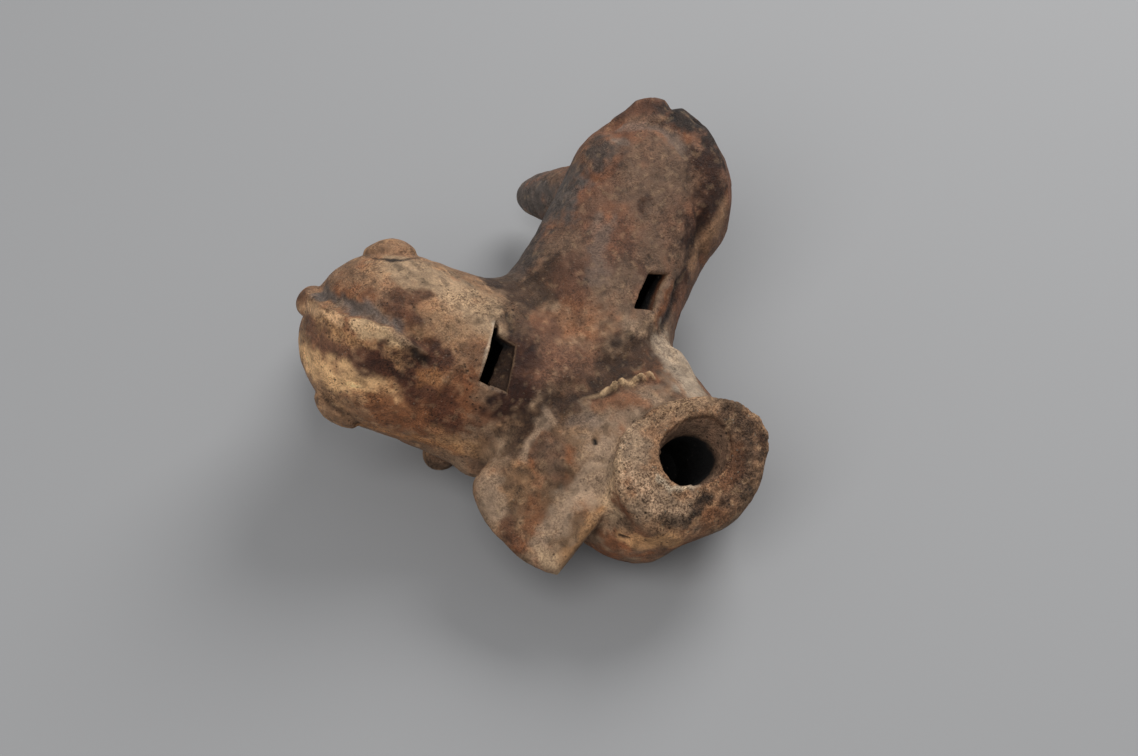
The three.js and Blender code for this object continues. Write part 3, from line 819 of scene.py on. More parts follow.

# Stains, worn places, painted shade, painted sheen and painted highlights: a line of photograph pixels,
# half width in mm, colour and strength
STAINS_AND_PAINTED_LIGHT = [
    ("pale left neck", [(405, 266), (445, 285), (484, 316)], 6.2, PALE * 0.85, 0.9),
    ("pale below the left neck's top", [(430, 320), (470, 345)], 4.0, TAN, 0.7),
    ("upper left head", [(328, 279), (387, 301)], 4.2, BROWN_TAN, 0.85),
    ("orange streaks", [(338, 288), (372, 299)], 1.5, ORANGE_BROWN, 0.65),
    ("brown below the eye", [(336, 264), (372, 268), (398, 276)], 2.2, RICH_BROWN, 0.75),
    ("spots beside the crown", [(399, 292), (402, 300), (426, 297)], 1.6, BROWN, 0.85),
    ("brown before the window", [(425, 345), (455, 362), (480, 352)], 2.6, BROWN, 0.6),
    ("worn groove", [(326, 294), (357, 309), (394, 323)], 1.9, SLATE * 2.1, 0.9),
    ("dark end of the groove", [(392, 309), (408, 317)], 1.7, DARK_BROWN * 1.4, 0.8),
    ("left ridge", [(302, 306), (318, 314), (338, 321)], 1.6, RIDGE_TAN, 0.85),
    ("slope of the left ridge", [(314, 324), (348, 340), (392, 355)], 1.9, GOLD, 0.85),
    ("crusted ridge", [(357, 326), (376, 332), (397, 344)], 1.5, CRUMB, 0.85),
    ("ridge end", [(402, 336), (412, 345)], 1.6, GREY_TAN, 0.7),
    # Painted shadow under and beside the overhanging end of the left ridge
    ("painted shadow at the ridge end", [(416, 350), (418, 364)], 1.1, SOOT_AND_SHADE, 0.6),
    ("painted shadow beyond the ridge", [(420, 344), (443, 358)], 2.3, DARK_BROWN * 1.4, 0.85),
    ("band below the ridge", [(309, 327), (340, 351), (376, 360)], 2.1, RED_BROWN * 1.1, 0.85),
    ("soot band", [(374, 364), (397, 378), (420, 366)], 2.8, EARTH * 0.9, 0.95),
    ("left cheek", [(302, 354), (332, 373), (372, 391), (398, 404)], 3.0, YELLOW_TAN * 1.08, 0.95),
    ("brown lower head", [(388, 414), (440, 416), (470, 396)], 5.6, RICH_BROWN * 1.5, 0.9),
    ("dark lower head", [(414, 388), (452, 400), (450, 424)], 3.4, EARTH * 1.4, 0.8),
    ("orange cheek spot", [(424, 374), (436, 380)], 2.0, ORANGE_TAN, 0.7),
    ("lower edge of the head", [(366, 427), (418, 440), (452, 448)], 1.7, ORANGE_TAN * 0.9, 0.75),
    # Painted shade in the creases round the eyes
    ("outer eye crease",
     [(322, 398), (328, 404), (335, 410), (342, 414), (350, 419), (358, 424)], 0.6, SOOT_AND_SHADE, 0.95),
    ("inner eye crease", [(366, 256), (376, 259), (390, 261), (404, 260), (418, 257)], 0.45, SOOT_AND_SHADE, 0.9),
    ("inner eye stain", [(378, 253), (402, 254)], 1.2, BROWN, 0.6),
    ("outer eye", [(326, 412), (348, 424)], 2.2, BROWN_TAN * 0.85, 0.8),
    ("inner eye", [(376, 248), (406, 248)], 2.6, BROWN_TAN, 0.85),
    ("nub top", [(305, 287), (320, 289)], 1.3, GREY_BROWN, 0.8),
    ("nub shade", [(300, 296), (304, 304)], 1.5, BROWN, 0.7),
    # Painted shade in the nub's notch
    ("nub notch", [(300, 312), (302, 318)], 0.7, SOOT_AND_SHADE, 0.9),
    ("left window's edge", [(495, 323), (488, 350), (480, 378)], 0.5, CHALK, 0.5),
    ("left window's lower edge", [(482, 384), (503, 393)], 0.5, CHALK, 0.5),
    ("grey below the left window", [(481, 392), (494, 402)], 1.8, GREY_TAN, 0.7),
    ("rust beside the left window", [(517, 350), (515, 380)], 1.5, ORANGE_BROWN, 0.8),
    ("shade round the left neck", [(512, 398), (495, 412), (478, 426)], 1.5, BROWN * 1.2, 0.6),
    ("tan neck root", [(440, 436), (462, 446), (482, 452)], 2.0, GOLD, 0.7),
    ("grey flank", [(495, 458), (510, 436)], 2.6, PINK_GREY, 0.6),
    ("pale tan flank", [(508, 432), (540, 424)], 2.6, TAN, 0.8),
    ("pink-grey flank", [(488, 480), (492, 496)], 2.0, PINK_GREY, 0.85),
    ("rust above the wing", [(521, 470), (526, 476)], 2.4, ORANGE_TAN, 0.7),
    ("right crest top", [(625, 112), (648, 103), (664, 108)], 2.3, RED_BROWN * 0.65, 0.85),
    ("grey below the right crest", [(628, 120), (655, 119)], 1.5, GREY_BROWN, 0.7),
    ("right crest root", [(679, 123), (690, 139)], 1.2, ORANGE_BROWN, 0.7),
    ("right crest soot", [(668, 109), (689, 117), (708, 134), (718, 153)], 2.7, SLATE * 0.38, 0.92),
    ("crest chip", [(697, 120), (703, 123)], 0.7, CHALK, 0.8),
    # Painted sheen in an arc below the right crest
    ("grey arc", [(625, 127), (652, 128), (670, 134), (688, 155)], 1.8, GREY_AND_SHEEN, 0.6),
    ("right eye", [(594, 153), (598, 164)], 3.6, SLATE * 0.9, 0.8),
    ("rust round the right eye", [(589, 183), (607, 176), (617, 159)], 0.9, ORANGE_BROWN, 0.4),
    # Painted sheen above the right eye
    ("streak above the eye", [(612, 140), (626, 143)], 0.9, GREY_AND_SHEEN, 0.7),
    ("scar", [(648, 197), (641, 203), (641, 211)], 0.6, DARK_BROWN, 0.5),
    # Slate clay, darkened further by painted shade on the shaded side of the right neck
    ("slate side", [(541, 223), (518, 267), (497, 280)], 4.6, SLATE, 0.85),
    # Painted shade where the two necks meet
    ("dark crotch", [(500, 282), (532, 292), (552, 268)], 4.0, BARK * 0.7, 0.9),
    ("shade from the crotch to the window", [(515, 290), (512, 320), (520, 345)], 2.6, BARK, 0.7),
    ("dark right band", [(712, 160), (708, 212), (694, 244)], 3.3, DARK_BROWN * 0.75, 0.95),
    ("right flank", [(726, 205), (708, 237), (694, 268)], 1.9, BROWN_TAN, 0.9),
    ("shade beside the right window", [(686, 280), (671, 300), (662, 328)], 1.5, DARK_BROWN, 0.85),
    ("brown neck edge", [(689, 290), (675, 330)], 1.2, BROWN, 0.75),
    ("rust beside the right window", [(670, 284), (664, 302), (657, 322)], 1.1, RICH_BROWN * 1.3, 0.95),
    ("pale patch below the right window", [(628, 326), (642, 333)], 1.7, PINK_GREY, 0.6),
    ("red neck", [(571, 285), (607, 241)], 4.2, RED_BROWN * 0.85, 0.75),
    # Painted sheen on the right neck
    ("grey neck", [(606, 222), (595, 245), (598, 278)], 1.9, GREY_AND_SHEEN, 0.6),
    ("red streaks on the neck", [(620, 222), (629, 246), (640, 272)], 1.1, RED_BROWN * 0.75, 0.7),
    ("rust between the necks", [(560, 322), (585, 330)], 4.0, ORANGE_BROWN, 0.5),
    ("brown neck by the window", [(542, 332), (548, 362)], 4.4, RED_BROWN * 0.95, 0.75),
    ("dark neck by the window", [(520, 352), (524, 388), (507, 406)], 3.8, EARTH * 0.6, 1.0),
    ("brown neck root", [(545, 372), (585, 352)], 3.2, RED_BROWN, 0.7),
    ("beak", [(519, 195), (560, 198)], 7.0, SLATE * 1.6, 1.0),
    ("underside of the beak", [(526, 214), (545, 222)], 2.4, SLATE * 2.6, 0.7),
    # Grey-brown clay, darkened by painted shade where the leg stands under the neck
    ("left leg", [(432, 456), (446, 464)], 3.5, GREY_BROWN * 0.8, 0.85),
    ("beak top", [(548, 176), (556, 178)], 1.6, GREY_BROWN, 0.7),
    # Brown clay, and painted shade in the furrow between the necks and the rump
    ("furrow between the necks and the rump",
     [(515, 440), (556, 420), (592, 392), (625, 362), (660, 340)], 4.2, BARK * 0.8, 0.95),
    ("crumbs on the seam", [(586, 398), (607, 388), (624, 381), (648, 377)], 0.6, CRUMB * 0.7, 0.5),
    ("shade under the seam", [(588, 402), (620, 396), (640, 403), (647, 411)], 0.9, BROWN, 0.9),
    ("pale scoop", [(598, 416), (624, 412), (652, 402)], 3.2, PINK_GREY * 0.8, 0.8),
    # Painted shadow of the roll of clay, just under the burr
    ("painted shadow under the burr", [(598, 405), (626, 399), (644, 404)], 1.3, ORANGE_BROWN, 0.6),
    ("grey saddle", [(596, 428), (618, 432), (606, 446)], 2.8, PINK_GREY * 0.78, 0.7),
    # Painted highlight on the right flank where the light falls, over its pale clay
    ("pale right flank", [(674, 348), (684, 368), (690, 388)], 4.4, PALE_LIT_CLAY * 0.85, 0.95),
    ("saddle", [(572, 434), (600, 447), (580, 466)], 3.8, TAN * 0.75, 0.6),
    ("grey stripe on the saddle", [(548, 418), (534, 440), (524, 458)], 1.5, PINK_GREY, 0.7),
    ("grey patch on the saddle", [(572, 424), (592, 420)], 1.6, GREY_AND_SHEEN, 0.6),
    ("rust spot on the saddle", [(566, 452), (572, 458)], 1.2, ORANGE_BROWN, 0.7),
    ("rust round the saddle's patch",
     [(545, 436), (533, 460), (538, 488), (562, 474)], 1.0, ORANGE_BROWN, 0.7),
    ("brown patch on the flank", [(552, 448), (550, 474)], 2.6, GREY_BROWN, 0.75),
    ("rust on the flank's edge", [(487, 448), (479, 478)], 1.5, BROWN_TAN, 0.75),
    ("wing", [(515, 490), (535, 520), (560, 520)], 6.4, TAN * 0.56, 0.85),
    ("wing's grey shoulder", [(488, 484), (500, 512)], 2.2, PINK_GREY * 0.85, 0.75),
    ("wing's front edge", [(488, 516), (506, 546), (540, 566)], 1.2, PALE, 0.65),
    ("wing's dark patch", [(508, 521), (514, 543)], 2.0, BROWN * 0.85, 0.85),
    ("wing's brown", [(532, 508), (538, 524), (528, 540)], 2.4, ORANGE_BROWN * 0.9, 0.65),
    ("wing's grey stripe", [(598, 470), (582, 484), (565, 505), (543, 543)], 2.2, PINK_GREY * 0.85, 0.9),
    ("wing's tan edge", [(602, 505), (588, 528), (563, 564)], 1.2, GOLD * 1.2, 0.75),
    ("wing tip", [(545, 558), (560, 569)], 2.0, PALE * 1.1, 0.85),
    # Painted shade in the fold under the wing
    ("fold under the wing", [(612, 513), (598, 539), (585, 560)], 0.8, SOOT_AND_SHADE, 0.9),
    ("rusty belly", [(608, 538), (622, 548)], 2.4, ORANGE_BROWN, 0.8),
    ("pale belly", [(630, 542), (672, 541)], 2.2, GOLD * 1.45, 0.85),
    ("belly rust below", [(612, 556), (650, 552)], 1.0, ORANGE_BROWN, 0.7),
    # Painted shade in the crack in the belly
    ("belly crack", [(620, 536), (629, 539)], 0.35, SOOT_AND_SHADE, 0.9),
    ("right belly", [(690, 540), (725, 515)], 2.6, ORANGE_BROWN, 0.6),
    ("flank of the mouthpiece", [(630, 437), (612, 468), (606, 503)], 3.2, PALE * 1.3, 0.85),
    ("pale hollow beside the mouthpiece", [(598, 448), (590, 478), (578, 500)], 2.8, PINK_GREY * 1.1, 0.9),
    ("pale left lip", [(630, 440), (622, 462), (624, 486)], 1.3, PINK_GREY, 0.6),
    ("left of the blow hole", [(638, 430), (636, 470), (655, 504), (685, 514)], 3.6, PINK_GREY * 1.1, 0.85),
    ("top of the rim", [(650, 418), (690, 402), (720, 398)], 2.0, GREY_TAN * 1.35, 0.8),
    ("right of the rim", [(730, 412), (750, 446), (738, 484)], 4.2, GREY_BROWN * 0.8, 0.85),
    ("rust on the rim", [(735, 455), (724, 482)], 2.0, ORANGE_BROWN * 0.8, 0.45),
    ("rim smudge", [(705, 500), (698, 514)], 1.9, SOOT_AND_SHADE, 0.8),
    ("lower rim smudge", [(662, 524), (688, 526)], 1.4, SOOT_AND_SHADE, 0.65),
    ("grey rim edge", [(715, 394), (755, 412), (766, 440)], 1.2, SLATE, 0.6),
    ("dark rim specks", [(763, 436), (764, 445)], 1.2, DARK_BROWN, 0.7),
    ("lip of the blow hole", [(722, 462), (708, 474), (690, 486), (671, 490), (658, 478)], 0.6, CHALK, 0.7),
    # Painted shade in the pit in the saddle
    ("pit", [(592, 438), (593, 441)], 0.45, BLACK, 0.95),
]


def line_distance(p, line):
    best = None
    for a, b in zip(line[:-1], line[1:]):
        ab = b - a
        t = np.clip(((p - a) @ ab) / float(ab @ ab), 0.0, 1.0)
        d = np.linalg.norm(p - a - t[:, None] * ab, axis=1)
        best = d if best is None else np.minimum(best, d)
    return best


# Marks in the clay's surface: a line of photograph pixels, half width in mm, height in mm and lumpiness
MARKS = [
    ("burr of squeezed clay", [(586, 398), (607, 389), (622, 383), (635, 383), (647, 377)], 0.6, 0.35, 0.9),
    ("lip of the blow hole", [(722, 462), (708, 474), (690, 486), (671, 490)], 0.5, 0.35, 0.9),
    ("crease above the outer eye", [(325, 400), (342, 412), (359, 426)], 0.5, -0.45, 0.2),
    ("crease below the blow hole", [(634, 500), (652, 520), (676, 532)], 0.7, -0.3, 0.4),
    ("fold on the saddle", [(560, 486), (576, 470), (600, 458)], 1.2, -0.35, 0.4),
    ("roll of clay behind the burr", [(570, 412), (596, 403), (622, 397), (640, 401)], 1.3, 0.35, 0.4),
    ("furrow between the necks and the rump",
     [(520, 434), (552, 414), (590, 388), (625, 362), (658, 340)], 3.4, -1.1, 0.2),
    ("scoop behind the burr", [(600, 422), (624, 417), (648, 414)], 3.2, -1.0, 0.2),
    ("hollow beside the mouthpiece", [(614, 436), (604, 458), (592, 480)], 3.8, -1.3, 0.2),
    ("pit in the saddle", [(592, 438), (593, 441)], 0.5, -0.6, 0.0),
    ("fold under the wing", [(613, 511), (598, 538), (586, 556)], 0.7, -1.0, 0.3),
    ("belly crack", [(620, 536), (629, 539)], 0.3, -0.4, 0.0),
    ("scar on the right head", [(643, 201), (641, 206), (641, 211)], 0.5, -0.35, 0.5),
    ("gouge beside the right window", [(678, 285), (672, 310), (662, 335)], 1.1, -0.7, 0.3),
    ("raised edge of the right window", [(669, 283), (659, 311)], 0.5, 0.3, 0.4),
    ("crease of the right flank", [(728, 190), (704, 222), (690, 258), (683, 280)], 1.6, -0.4, 0.3),
    ("chip in the right crest", [(697, 120), (701, 123)], 0.8, -0.5, 0.4),
    ("ring round the right eye", [(577, 160), (583, 176), (600, 183), (615, 174)], 0.6, -0.2, 0.3),
    ("pit in the wing", [(507, 538), (510, 542)], 0.5, -0.4, 0.0),
    ("nub notch", [(299, 312), (302, 318)], 0.7, -0.6, 0.2),
    ("lip of the left window", [(508, 313), (512, 330)], 0.7, -0.5, 0.3),
    ("crease on the wing", [(520, 487), (514, 512), (516, 534)], 0.9, -0.3, 0.4),
    ("soft dent in the wing", [(545, 510), (540, 535)], 2.2, -0.35, 0.2),
    ("hollow at the left ridge's end", [(414, 352), (424, 362)], 1.1, -0.6, 0.3),
]

# Beads of squeezed clay along the burr: two ends in photograph pixels, half width in mm and height in mm
BEADS = [
    ((603, 391), (607, 388), 0.55, 0.8),
    ((613, 385), (617, 386), 0.5, 1.0),
    ((622, 379), (625, 383), 0.55, 1.1),
    ((631, 385), (634, 382), 0.5, 1.0),
    ((639, 377), (643, 380), 0.55, 1.1),
    ((648, 374), (651, 378), 0.5, 0.9),
]
for start, end, width, height in BEADS:
    MARKS.append(("bead of clay", [start, end], width, height, 0.5))
    STAINS_AND_PAINTED_LIGHT.append(("bead of clay", [start, end], 0.6, CRUMB, 0.75))


def lines_on_surface(entries):
    points = on_surface([pixel for entry in entries for pixel in entry[1]]).astype(np.float32)
    lines = []
    for entry in entries:
        lines.append(points[:len(entry[1])])
        points = points[len(entry[1]):]
    return lines


stain_and_light_lines = lines_on_surface(STAINS_AND_PAINTED_LIGHT)
mark_lines = lines_on_surface(MARKS)


def near_line(p, line, width):
    """Which points lie near enough to a line for what is drawn along it to show."""
    centre = line.mean(axis=0)
    return near(p, centre, np.linalg.norm(line - centre, axis=1).max() + 2.5 * width + 2.5)


def marks_lift(p):
    """How far the marks raise or sink the surface at each point."""
    lift = np.zeros(len(p), dtype=np.float32)
    for (_, _, width, height, lumpy), line in zip(MARKS, mark_lines):
        mask = near_line(p, line, width)
        if not mask.any():
            continue
        q = p[mask]
        ragged = noise(q, max(0.9, width), 71)
        d = line_distance(q, line) / width + 0.25 * lumpy * ragged
        lift[mask] += height * np.exp(-1.2 * d * d) * (1.0 + lumpy * noise(q, 1.5, 73))
    return lift


def broad_dents(p):
    """The part of the marks that is too wide to take painted shade."""
    lift = np.zeros(len(p), dtype=np.float32)
    for (_, _, width, height, _), line in zip(MARKS, mark_lines):
        if width > 1.9:
            lift += height * np.exp(-1.2 * (line_distance(p, line) / width) ** 2)
    return lift


def between(low, high, share):
    return low + (high - low) * share[:, None]


def tinge(colour, tint, amount):
    """Draws the colour at each point towards a tint, in place, by an amount from 0 to 1."""
    colour += (tint - colour) * amount[:, None]


def stain(colour, p, small, tiny):
    """Lays the stains, painted shade, painted sheen and painted highlights on the colour, in their order,
    with uneven edges.
    """
    warp = np.stack([layered_noise(p, 3.2, seed, 3) for seed in (41, 43, 47)], axis=1)
    for (_, _, width, tint, strength), line in zip(STAINS_AND_PAINTED_LIGHT, stain_and_light_lines):
        mask = near_line(p, line, width)
        if not mask.any():
            continue
        q = p[mask] + warp[mask] * min(1.4, 0.5 * width)
        d = line_distance(q, line) / width + 0.3 * small[mask] + 0.18 * tiny[mask]
        amount = strength * (1.0 - fade(d, 0.35, 1.3))
        colour[mask] += (tint - colour[mask]) * amount[:, None]


def painted(p, normals):
    """The clay's colour at each point, with painted shade, sheen and highlights, and how speckled and how
    crusted it is there.
    """
    p = p.astype(np.float32)
    broad = layered_noise(p, 14.0, 11, 3)
    middle = layered_noise(p, 4.5, 23, 4)
    small = layered_noise(p, 1.5, 37, 2)
    tiny = noise(p, 0.75, 39)
    _, y, h = mouth_coordinates(p)
    rim = fade(h + 0.3 * small, MOUTH_LENGTH - 2.2, MOUTH_LENGTH - 0.8)
    left = fade(ahead_of_neck(p, LEFT) + 2.0 * middle, -1.0, 5.0) * fade(-p[:, 0], 4.0, 9.0)
    right = fade(ahead_of_neck(p, RIGHT) + 3.0 * middle, -9.0, 3.0)
    right = right * fade(p[:, 0] + 0.4 * p[:, 1], 6.0, 12.0)

    # Broad colours, and then the stains with the painted shade, sheen and highlights
    patchy = fade(broad + 0.4 * middle, -0.9, 0.9)
    colour = between(GREY_TAN * 0.9, BROWN, patchy)
    tinge(colour, between(TAN, BROWN_TAN * 0.8, patchy), left)
    tinge(colour, between(GREY_BROWN * 1.1, RED_BROWN, patchy), right)
    tinge(colour, ORANGE_BROWN, 0.4 * fade(middle + 0.4 * small, 0.1, 0.9) * (1.0 - 0.5 * right))
    tinge(colour, BROWN_TAN * 1.3, 0.8 * rim)
    stain(colour, p, small, tiny)

    # Painted shade in the hollows and narrow dents, wear and painted highlights on the edges, and the walls
    # inside
    depth = -skin(p)
    inside = fade(depth, 0.6, 1.0)
    mouth_inside = inside * fade(h, MOUTH_LENGTH - 8.0, MOUTH_LENGTH - 6.0)
    # Painted shade: darker where the surface is closed in by nearby clay
    open_air = skin((p + normals * 1.6).astype(np.float32)) / 1.6
    crevice_shade = fade(np.clip(1.0 - open_air, 0.0, 1.0), 0.18, 0.8) * (1.0 - inside)
    # Paler on convex edges: wear, and a painted highlight where the edges catch the light
    edge = skin((p - normals * 1.0).astype(np.float32)) + 1.0
    worn = fade(edge, 0.12, 0.5) * (1.0 - inside)
    # Painted shade in the narrow dents of the marks
    dent_shade = fade(-marks_lift(p), 0.12, 0.7) * (1.0 - fade(-broad_dents(p), 0.0, 0.3))
    tinge(colour, DARK_BROWN, 0.55 * crevice_shade)
    tinge(colour, PALE, 0.3 * worn)
    tinge(colour, SOOT_AND_SHADE * 0.8, 0.85 * dent_shade)
    wall = between(ORANGE_BROWN * 0.6, BARK * 0.5, fade(-p[:, 0], -2.0, 2.0))
    tinge(colour, wall, 0.9 * (inside - mouth_inside))
    tinge(colour, GREY_BROWN * 1.4, 0.8 * mouth_inside)

    # Unevenness: brush marks on the left head, spots and contrast
    q = p - LEFT["head"]
    round_head = np.arctan2(q @ LEFT["nape"], q @ LEFT["crown"])
    brushed = noise(np.stack([q @ LEFT["across"], 3.0 * round_head, 0.2 * p[:, 2]], axis=1), 0.55, 67)
    colour *= (1.0 + 0.18 * small + 0.1 * middle + 0.14 * tiny + 0.16 * brushed * left)[:, None]
    dark_spots = fade(noise(p, 1.1, 51) + 0.3 * tiny, 0.42, 0.62)
    light_spots = fade(noise(p, 0.9, 53) + 0.3 * tiny, 0.5, 0.7)
    colour *= (1.0 - 0.28 * dark_spots)[:, None]
    tinge(colour, CRUMB, (0.12 + 0.06 * rim) * light_spots)
    bright = np.maximum(colour.mean(axis=1, keepdims=True), 0.01)
    colour *= (bright / 0.13) ** 0.2

    # Painted shade: black deep in the hollow chambers, on the top of the left window's ramp and in the blow
    # hole's throat
    ramp_top_shadow = fade((p - LEFT["neck"]) @ LEFT["tangent"], 1.8, 3.4) * (p[:, 0] < -2.0)
    deep = depth + 0.3 * small + 2.2 * (p[:, 1] > 8.0) * (p[:, 0] > 0.0) + 2.0 * ramp_top_shadow
    dark = fade(deep, 3.0, 4.2) * (1.0 - mouth_inside)
    throat_shade = fade(MOUTH_LENGTH - h - 0.3 * y + 0.5 * small, 3.4, 5.2) * fade(-bore_form(p), -1.2, -0.4)
    tinge(colour, BLACK, np.clip(dark + throat_shade, 0.0, 1.0))

    patches = fade(layered_noise(p, 3.0, 61, 3), -0.5, 0.7)
    speckle = np.minimum((0.42 + 0.6 * rim + 0.15 * left) * (0.45 + 0.85 * patches), 0.9)
    crust = 0.25 + 0.75 * rim + 0.15 * left
    return np.clip(colour, 0.002, 0.9), np.stack([speckle, crust, np.zeros_like(crust)], axis=1)


def roughened(p):
    """Hand-modelled unevenness of the surface."""
    p = p.astype(np.float32)
    _, _, h = mouth_coordinates(p)
    rim = fade(h, MOUTH_LENGTH - 2.4, MOUTH_LENGTH - 1.0)
    lift = 0.22 * noise(p, 9.0, 3) + 0.13 * noise(p, 4.2, 5) + 0.08 * noise(p, 2.0, 7)
    lift = lift + (0.045 + 0.13 * rim) * noise(p, 0.9, 9) + 0.13 * rim * noise(p, 0.5, 13)
    lift = lift + marks_lift(p)
    fixed = fade(p[:, 2], 0.2, 1.5)
    return lift * fixed


# Materials

NODE_SPACING = 220
WHITE = (1.0, 1.0, 1.0, 1.0)
SPECK_DARK = (0.16, 0.10, 0.06, 1.0)
SPECK_LIGHT = (1.8, 1.76, 1.68, 1.0)
CRUMB_LIGHT = (0.50, 0.41, 0.30, 1.0)
PORE_DARK = (0.02, 0.014, 0.010, 1.0)


def clay_material(name, roughness, pores, bump, bump_depth):
    """The colours painted on the mesh, with specks, crumbs and pores. Scales are per metre."""
    material = bpy.data.materials.new(name)
    material.use_nodes = True
    tree = material.node_tree
    tree.nodes.clear()

    def node(kind, inputs, **settings):
        """Adds a node. Its inputs are numbers, colours or the outputs of other nodes."""
        made = tree.nodes.new(kind)
        made.location = (NODE_SPACING * len(tree.nodes), 0)
        for key, value in settings.items():
            setattr(made, key, value)
        for key, value in inputs.items():
            if isinstance(value, bpy.types.NodeSocket):
                tree.links.new(value, made.inputs[key])
            else:
                made.inputs[key].default_value = value
        return made.outputs

    def texture(scale, detail, rough):
        inputs = {"Scale": scale, "Detail": detail, "Roughness": rough, "Vector": place["Object"]}
        return node("ShaderNodeTexNoise", inputs)["Fac"]

    def maths(operation, a, b, clamp=False):
        return node("ShaderNodeMath", {0: a, 1: b}, operation=operation, use_clamp=clamp)[0]

    def times(a, b):
        return maths("MULTIPLY", a, b)

    def plus(a, b):
        return maths("ADD", a, b)

    def spread(value, low, high, to_low=0.0, to_high=1.0):
        inputs = {"Value": value, "From Min": low, "From Max": high, "To Min": to_low, "To Max": to_high}
        return node("ShaderNodeMapRange", inputs, clamp=True, interpolation_type="SMOOTHSTEP")["Result"]

    def blend(factor, a, b, kind="MIX"):
        return node("ShaderNodeMix", {0: factor, 6: a, 7: b}, data_type="RGBA", blend_type=kind)[2]

    def dots(scale, low, high, chosen):
        cells = node("ShaderNodeTexVoronoi", {"Scale": scale, "Vector": place["Object"]})
        lot = node("ShaderNodeSeparateColor", {"Color": cells["Color"]})
        near_middle = spread(cells["Distance"], low, high, 1.0, 0.0)
        return times(near_middle, spread(lot["Red"], chosen, chosen + 0.1))

    place = node("ShaderNodeTexCoord", {})
    colour = node("ShaderNodeAttribute", {}, attribute_name="Clay")
    surface = node("ShaderNodeAttribute", {}, attribute_name="Surface")
    amounts = node("ShaderNodeSeparateColor", {"Color": surface["Color"]})
    grit = texture(3000.0, 3.0, 0.65)
    mottle = texture(700.0, 5.0, 0.65)
    cloud = texture(200.0, 4.0, 0.6)

    pore_where = spread(cloud, 0.46, 0.60, 0.35, 1.0)
    pore = times(times(dots(1500.0, 0.20, 0.36, 0.72), pore_where), pores)
    crumb_where = spread(mottle, 0.48, 0.58)
    crumb = maths("MULTIPLY", times(dots(1700.0, 0.15, 0.38, 0.6), crumb_where), amounts["Green"], True)

    pattern = plus(times(spread(grit, 0.40, 0.58), 0.58), times(spread(mottle, 0.40, 0.60), 0.32))
    pattern = plus(pattern, times(spread(cloud, 0.38, 0.62), 0.1))
    speckled = blend(amounts["Red"], WHITE, blend(pattern, SPECK_DARK, SPECK_LIGHT))
    tint = blend(1.0, colour["Color"], speckled, "MULTIPLY")
    tint = blend(times(crumb, 0.5), tint, CRUMB_LIGHT)
    tint = blend(times(pore, 0.75), tint, PORE_DARK)

    height = maths("SUBTRACT", times(grit, 0.9), times(pore, 1.2))
    height = plus(plus(height, times(mottle, 1.4)), times(crumb, 0.5))
    relief = node("ShaderNodeBump", {"Strength": bump, "Distance": bump_depth, "Height": height})
    shader = node("ShaderNodeBsdfPrincipled", {
        "Base Color": tint, "Normal": relief["Normal"], "Specular IOR Level": 0.3,
        "Roughness": spread(mottle, 0.3, 0.7, roughness - 0.12, roughness + 0.1)})
    node("ShaderNodeOutputMaterial", {"Surface": shader["BSDF"]})
    return material


# Roughness, share of pores, and the bumps' strength and depth in m
CLAYS = {
    "body_clay": (0.72, 0.5, 0.9, 0.0004),
    "mouthpiece_clay": (0.85, 0.9, 1.0, 0.0008),
    "left_bird_clay": (0.62, 0.8, 0.9, 0.0005),
    "right_bird_clay": (0.7, 0.4, 0.9, 0.0004),
    "beak_clay": (0.7, 0.3, 0.8, 0.0004),
    "eye_clay": (0.68, 0.6, 0.8, 0.0004),
    "wing_clay": (0.72, 0.5, 0.9, 0.0004),
}
MATERIALS = {name: clay_material(name, *looks) for name, looks in CLAYS.items()}
SLOTS = {entry["node"]: entry["material_slot"] for entry in frame["record"]["subparts"]}


# Pieces

def make_piece(name):
    low, high = (np.array(corner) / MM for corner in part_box(name))
    low = low - PIECE_MARGIN
    high = high + PIECE_MARGIN
    step = FINE_STEP if name == "mouthpiece" else GRID_STEP
    low[2] = -2 * step - UNDERSIDE_SHIFT
    field = piece_field(name)
    values = sample(field, low, high, step)
    verts, quads = surface_net(values, low, step)
    verts = settle(field, verts)
    normals, _ = gradient(clay, verts)
    colour, surface = painted(verts, normals)
    verts = verts + normals * roughened(verts)[:, None]
    mesh = bpy.data.meshes.new(name + "_clay")
    mesh.vertices.add(len(verts))
    mesh.vertices.foreach_set("co", (verts * MM).astype(np.float32).ravel())
    mesh.loops.add(quads.size)
    mesh.loops.foreach_set("vertex_index", quads.astype(np.int32).ravel())
    mesh.polygons.add(len(quads))
    mesh.polygons.foreach_set("loop_start", (np.arange(len(quads)) * 4).astype(np.int32))
    mesh.update(calc_edges=True)
    mesh.validate()
    mesh.shade_smooth()
    for label, data in (("Clay", colour), ("Surface", surface)):
        layer = mesh.color_attributes.new(label, "FLOAT_COLOR", "POINT")
        rgba = np.concatenate([data, np.ones((len(data), 1))], axis=1)
        layer.data.foreach_set("color", rgba.astype(np.float32).ravel())
    piece = bpy.data.objects.new(name + "_clay", mesh)
    bpy.context.scene.collection.objects.link(piece)
    mesh.materials.append(MATERIALS[SLOTS[name]])
    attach(piece, "root")
    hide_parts(name)
    print(name, len(verts), "points")


for name in SHARES:
    make_piece(name)


# Floor, light and camera

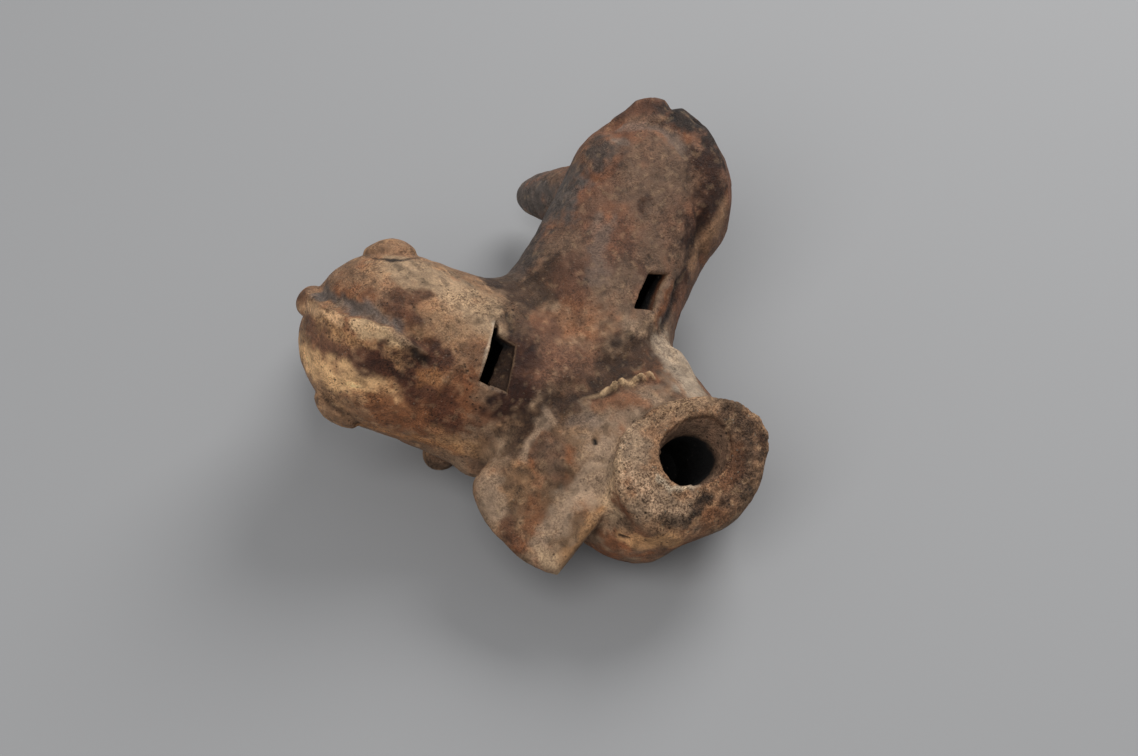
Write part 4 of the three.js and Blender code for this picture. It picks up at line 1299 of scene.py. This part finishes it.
def floor_material():
    material = bpy.data.materials.new("floor")
    material.use_nodes = True
    shader = material.node_tree.nodes["Principled BSDF"]
    shader.inputs["Base Color"].default_value = (0.325, 0.325, 0.328, 1.0)
    shader.inputs["Roughness"].default_value = 0.9
    return material


FLOOR_HALF = 1.5
floor_mesh = bpy.data.meshes.new("floor")
floor_corners = [(x * FLOOR_HALF, y * FLOOR_HALF, 0) for x, y in ((-1, -1), (1, -1), (1, 1), (-1, 1))]
floor_mesh.from_pydata(floor_corners, [], [(0, 1, 2, 3)])
floor = bpy.data.objects.new("floor", floor_mesh)
floor_mesh.materials.append(floor_material())
bpy.context.scene.collection.objects.link(floor)


def area_light(name, away, distance, size, power):
    light = bpy.data.lights.new(name, "AREA")
    light.shape = "DISK"
    light.size = size
    light.energy = power
    lamp = bpy.data.objects.new(name, light)
    way = unit(away).tolist()
    lamp.location = [c * distance for c in way]
    lamp.rotation_euler = mathutils.Vector(way).to_track_quat("Z", "Y").to_euler()
    bpy.context.scene.collection.objects.link(lamp)


key_away = view_right * 0.38 + view_up * 0.92 + view_back * 0.12
fill_away = view_back * 0.95 - view_right * 0.25 + view_up * 0.15
area_light("key", key_away, distance=0.55, size=0.34, power=2.0)
area_light("fill", fill_away, distance=0.9, size=0.8, power=4.2)

world = bpy.data.worlds.new("room")
world.use_nodes = True
sky = world.node_tree.nodes["Background"]
sky.inputs["Color"].default_value = (0.95, 0.97, 1.0, 1.0)
sky.inputs["Strength"].default_value = 0.33
bpy.context.scene.world = world

camera_data = bpy.data.cameras.new("camera")
camera_data.sensor_width = SENSOR_WIDTH
camera_data.sensor_fit = "HORIZONTAL"
camera_data.lens = SENSOR_WIDTH * CAMERA_DISTANCE / (PHOTO_WIDTH * MM_PER_PIXEL)
camera_data.clip_start = 0.01
camera_data.clip_end = 10.0
camera = bpy.data.objects.new("camera", camera_data)
camera.location = [c * MM for c in camera_at.tolist()]
turn = mathutils.Matrix((view_right.tolist(), view_up.tolist(), view_back.tolist()))
camera.rotation_euler = turn.transposed().to_euler()
bpy.context.scene.collection.objects.link(camera)
bpy.context.scene.camera = camera
bpy.context.scene.view_settings.view_transform = "Standard"
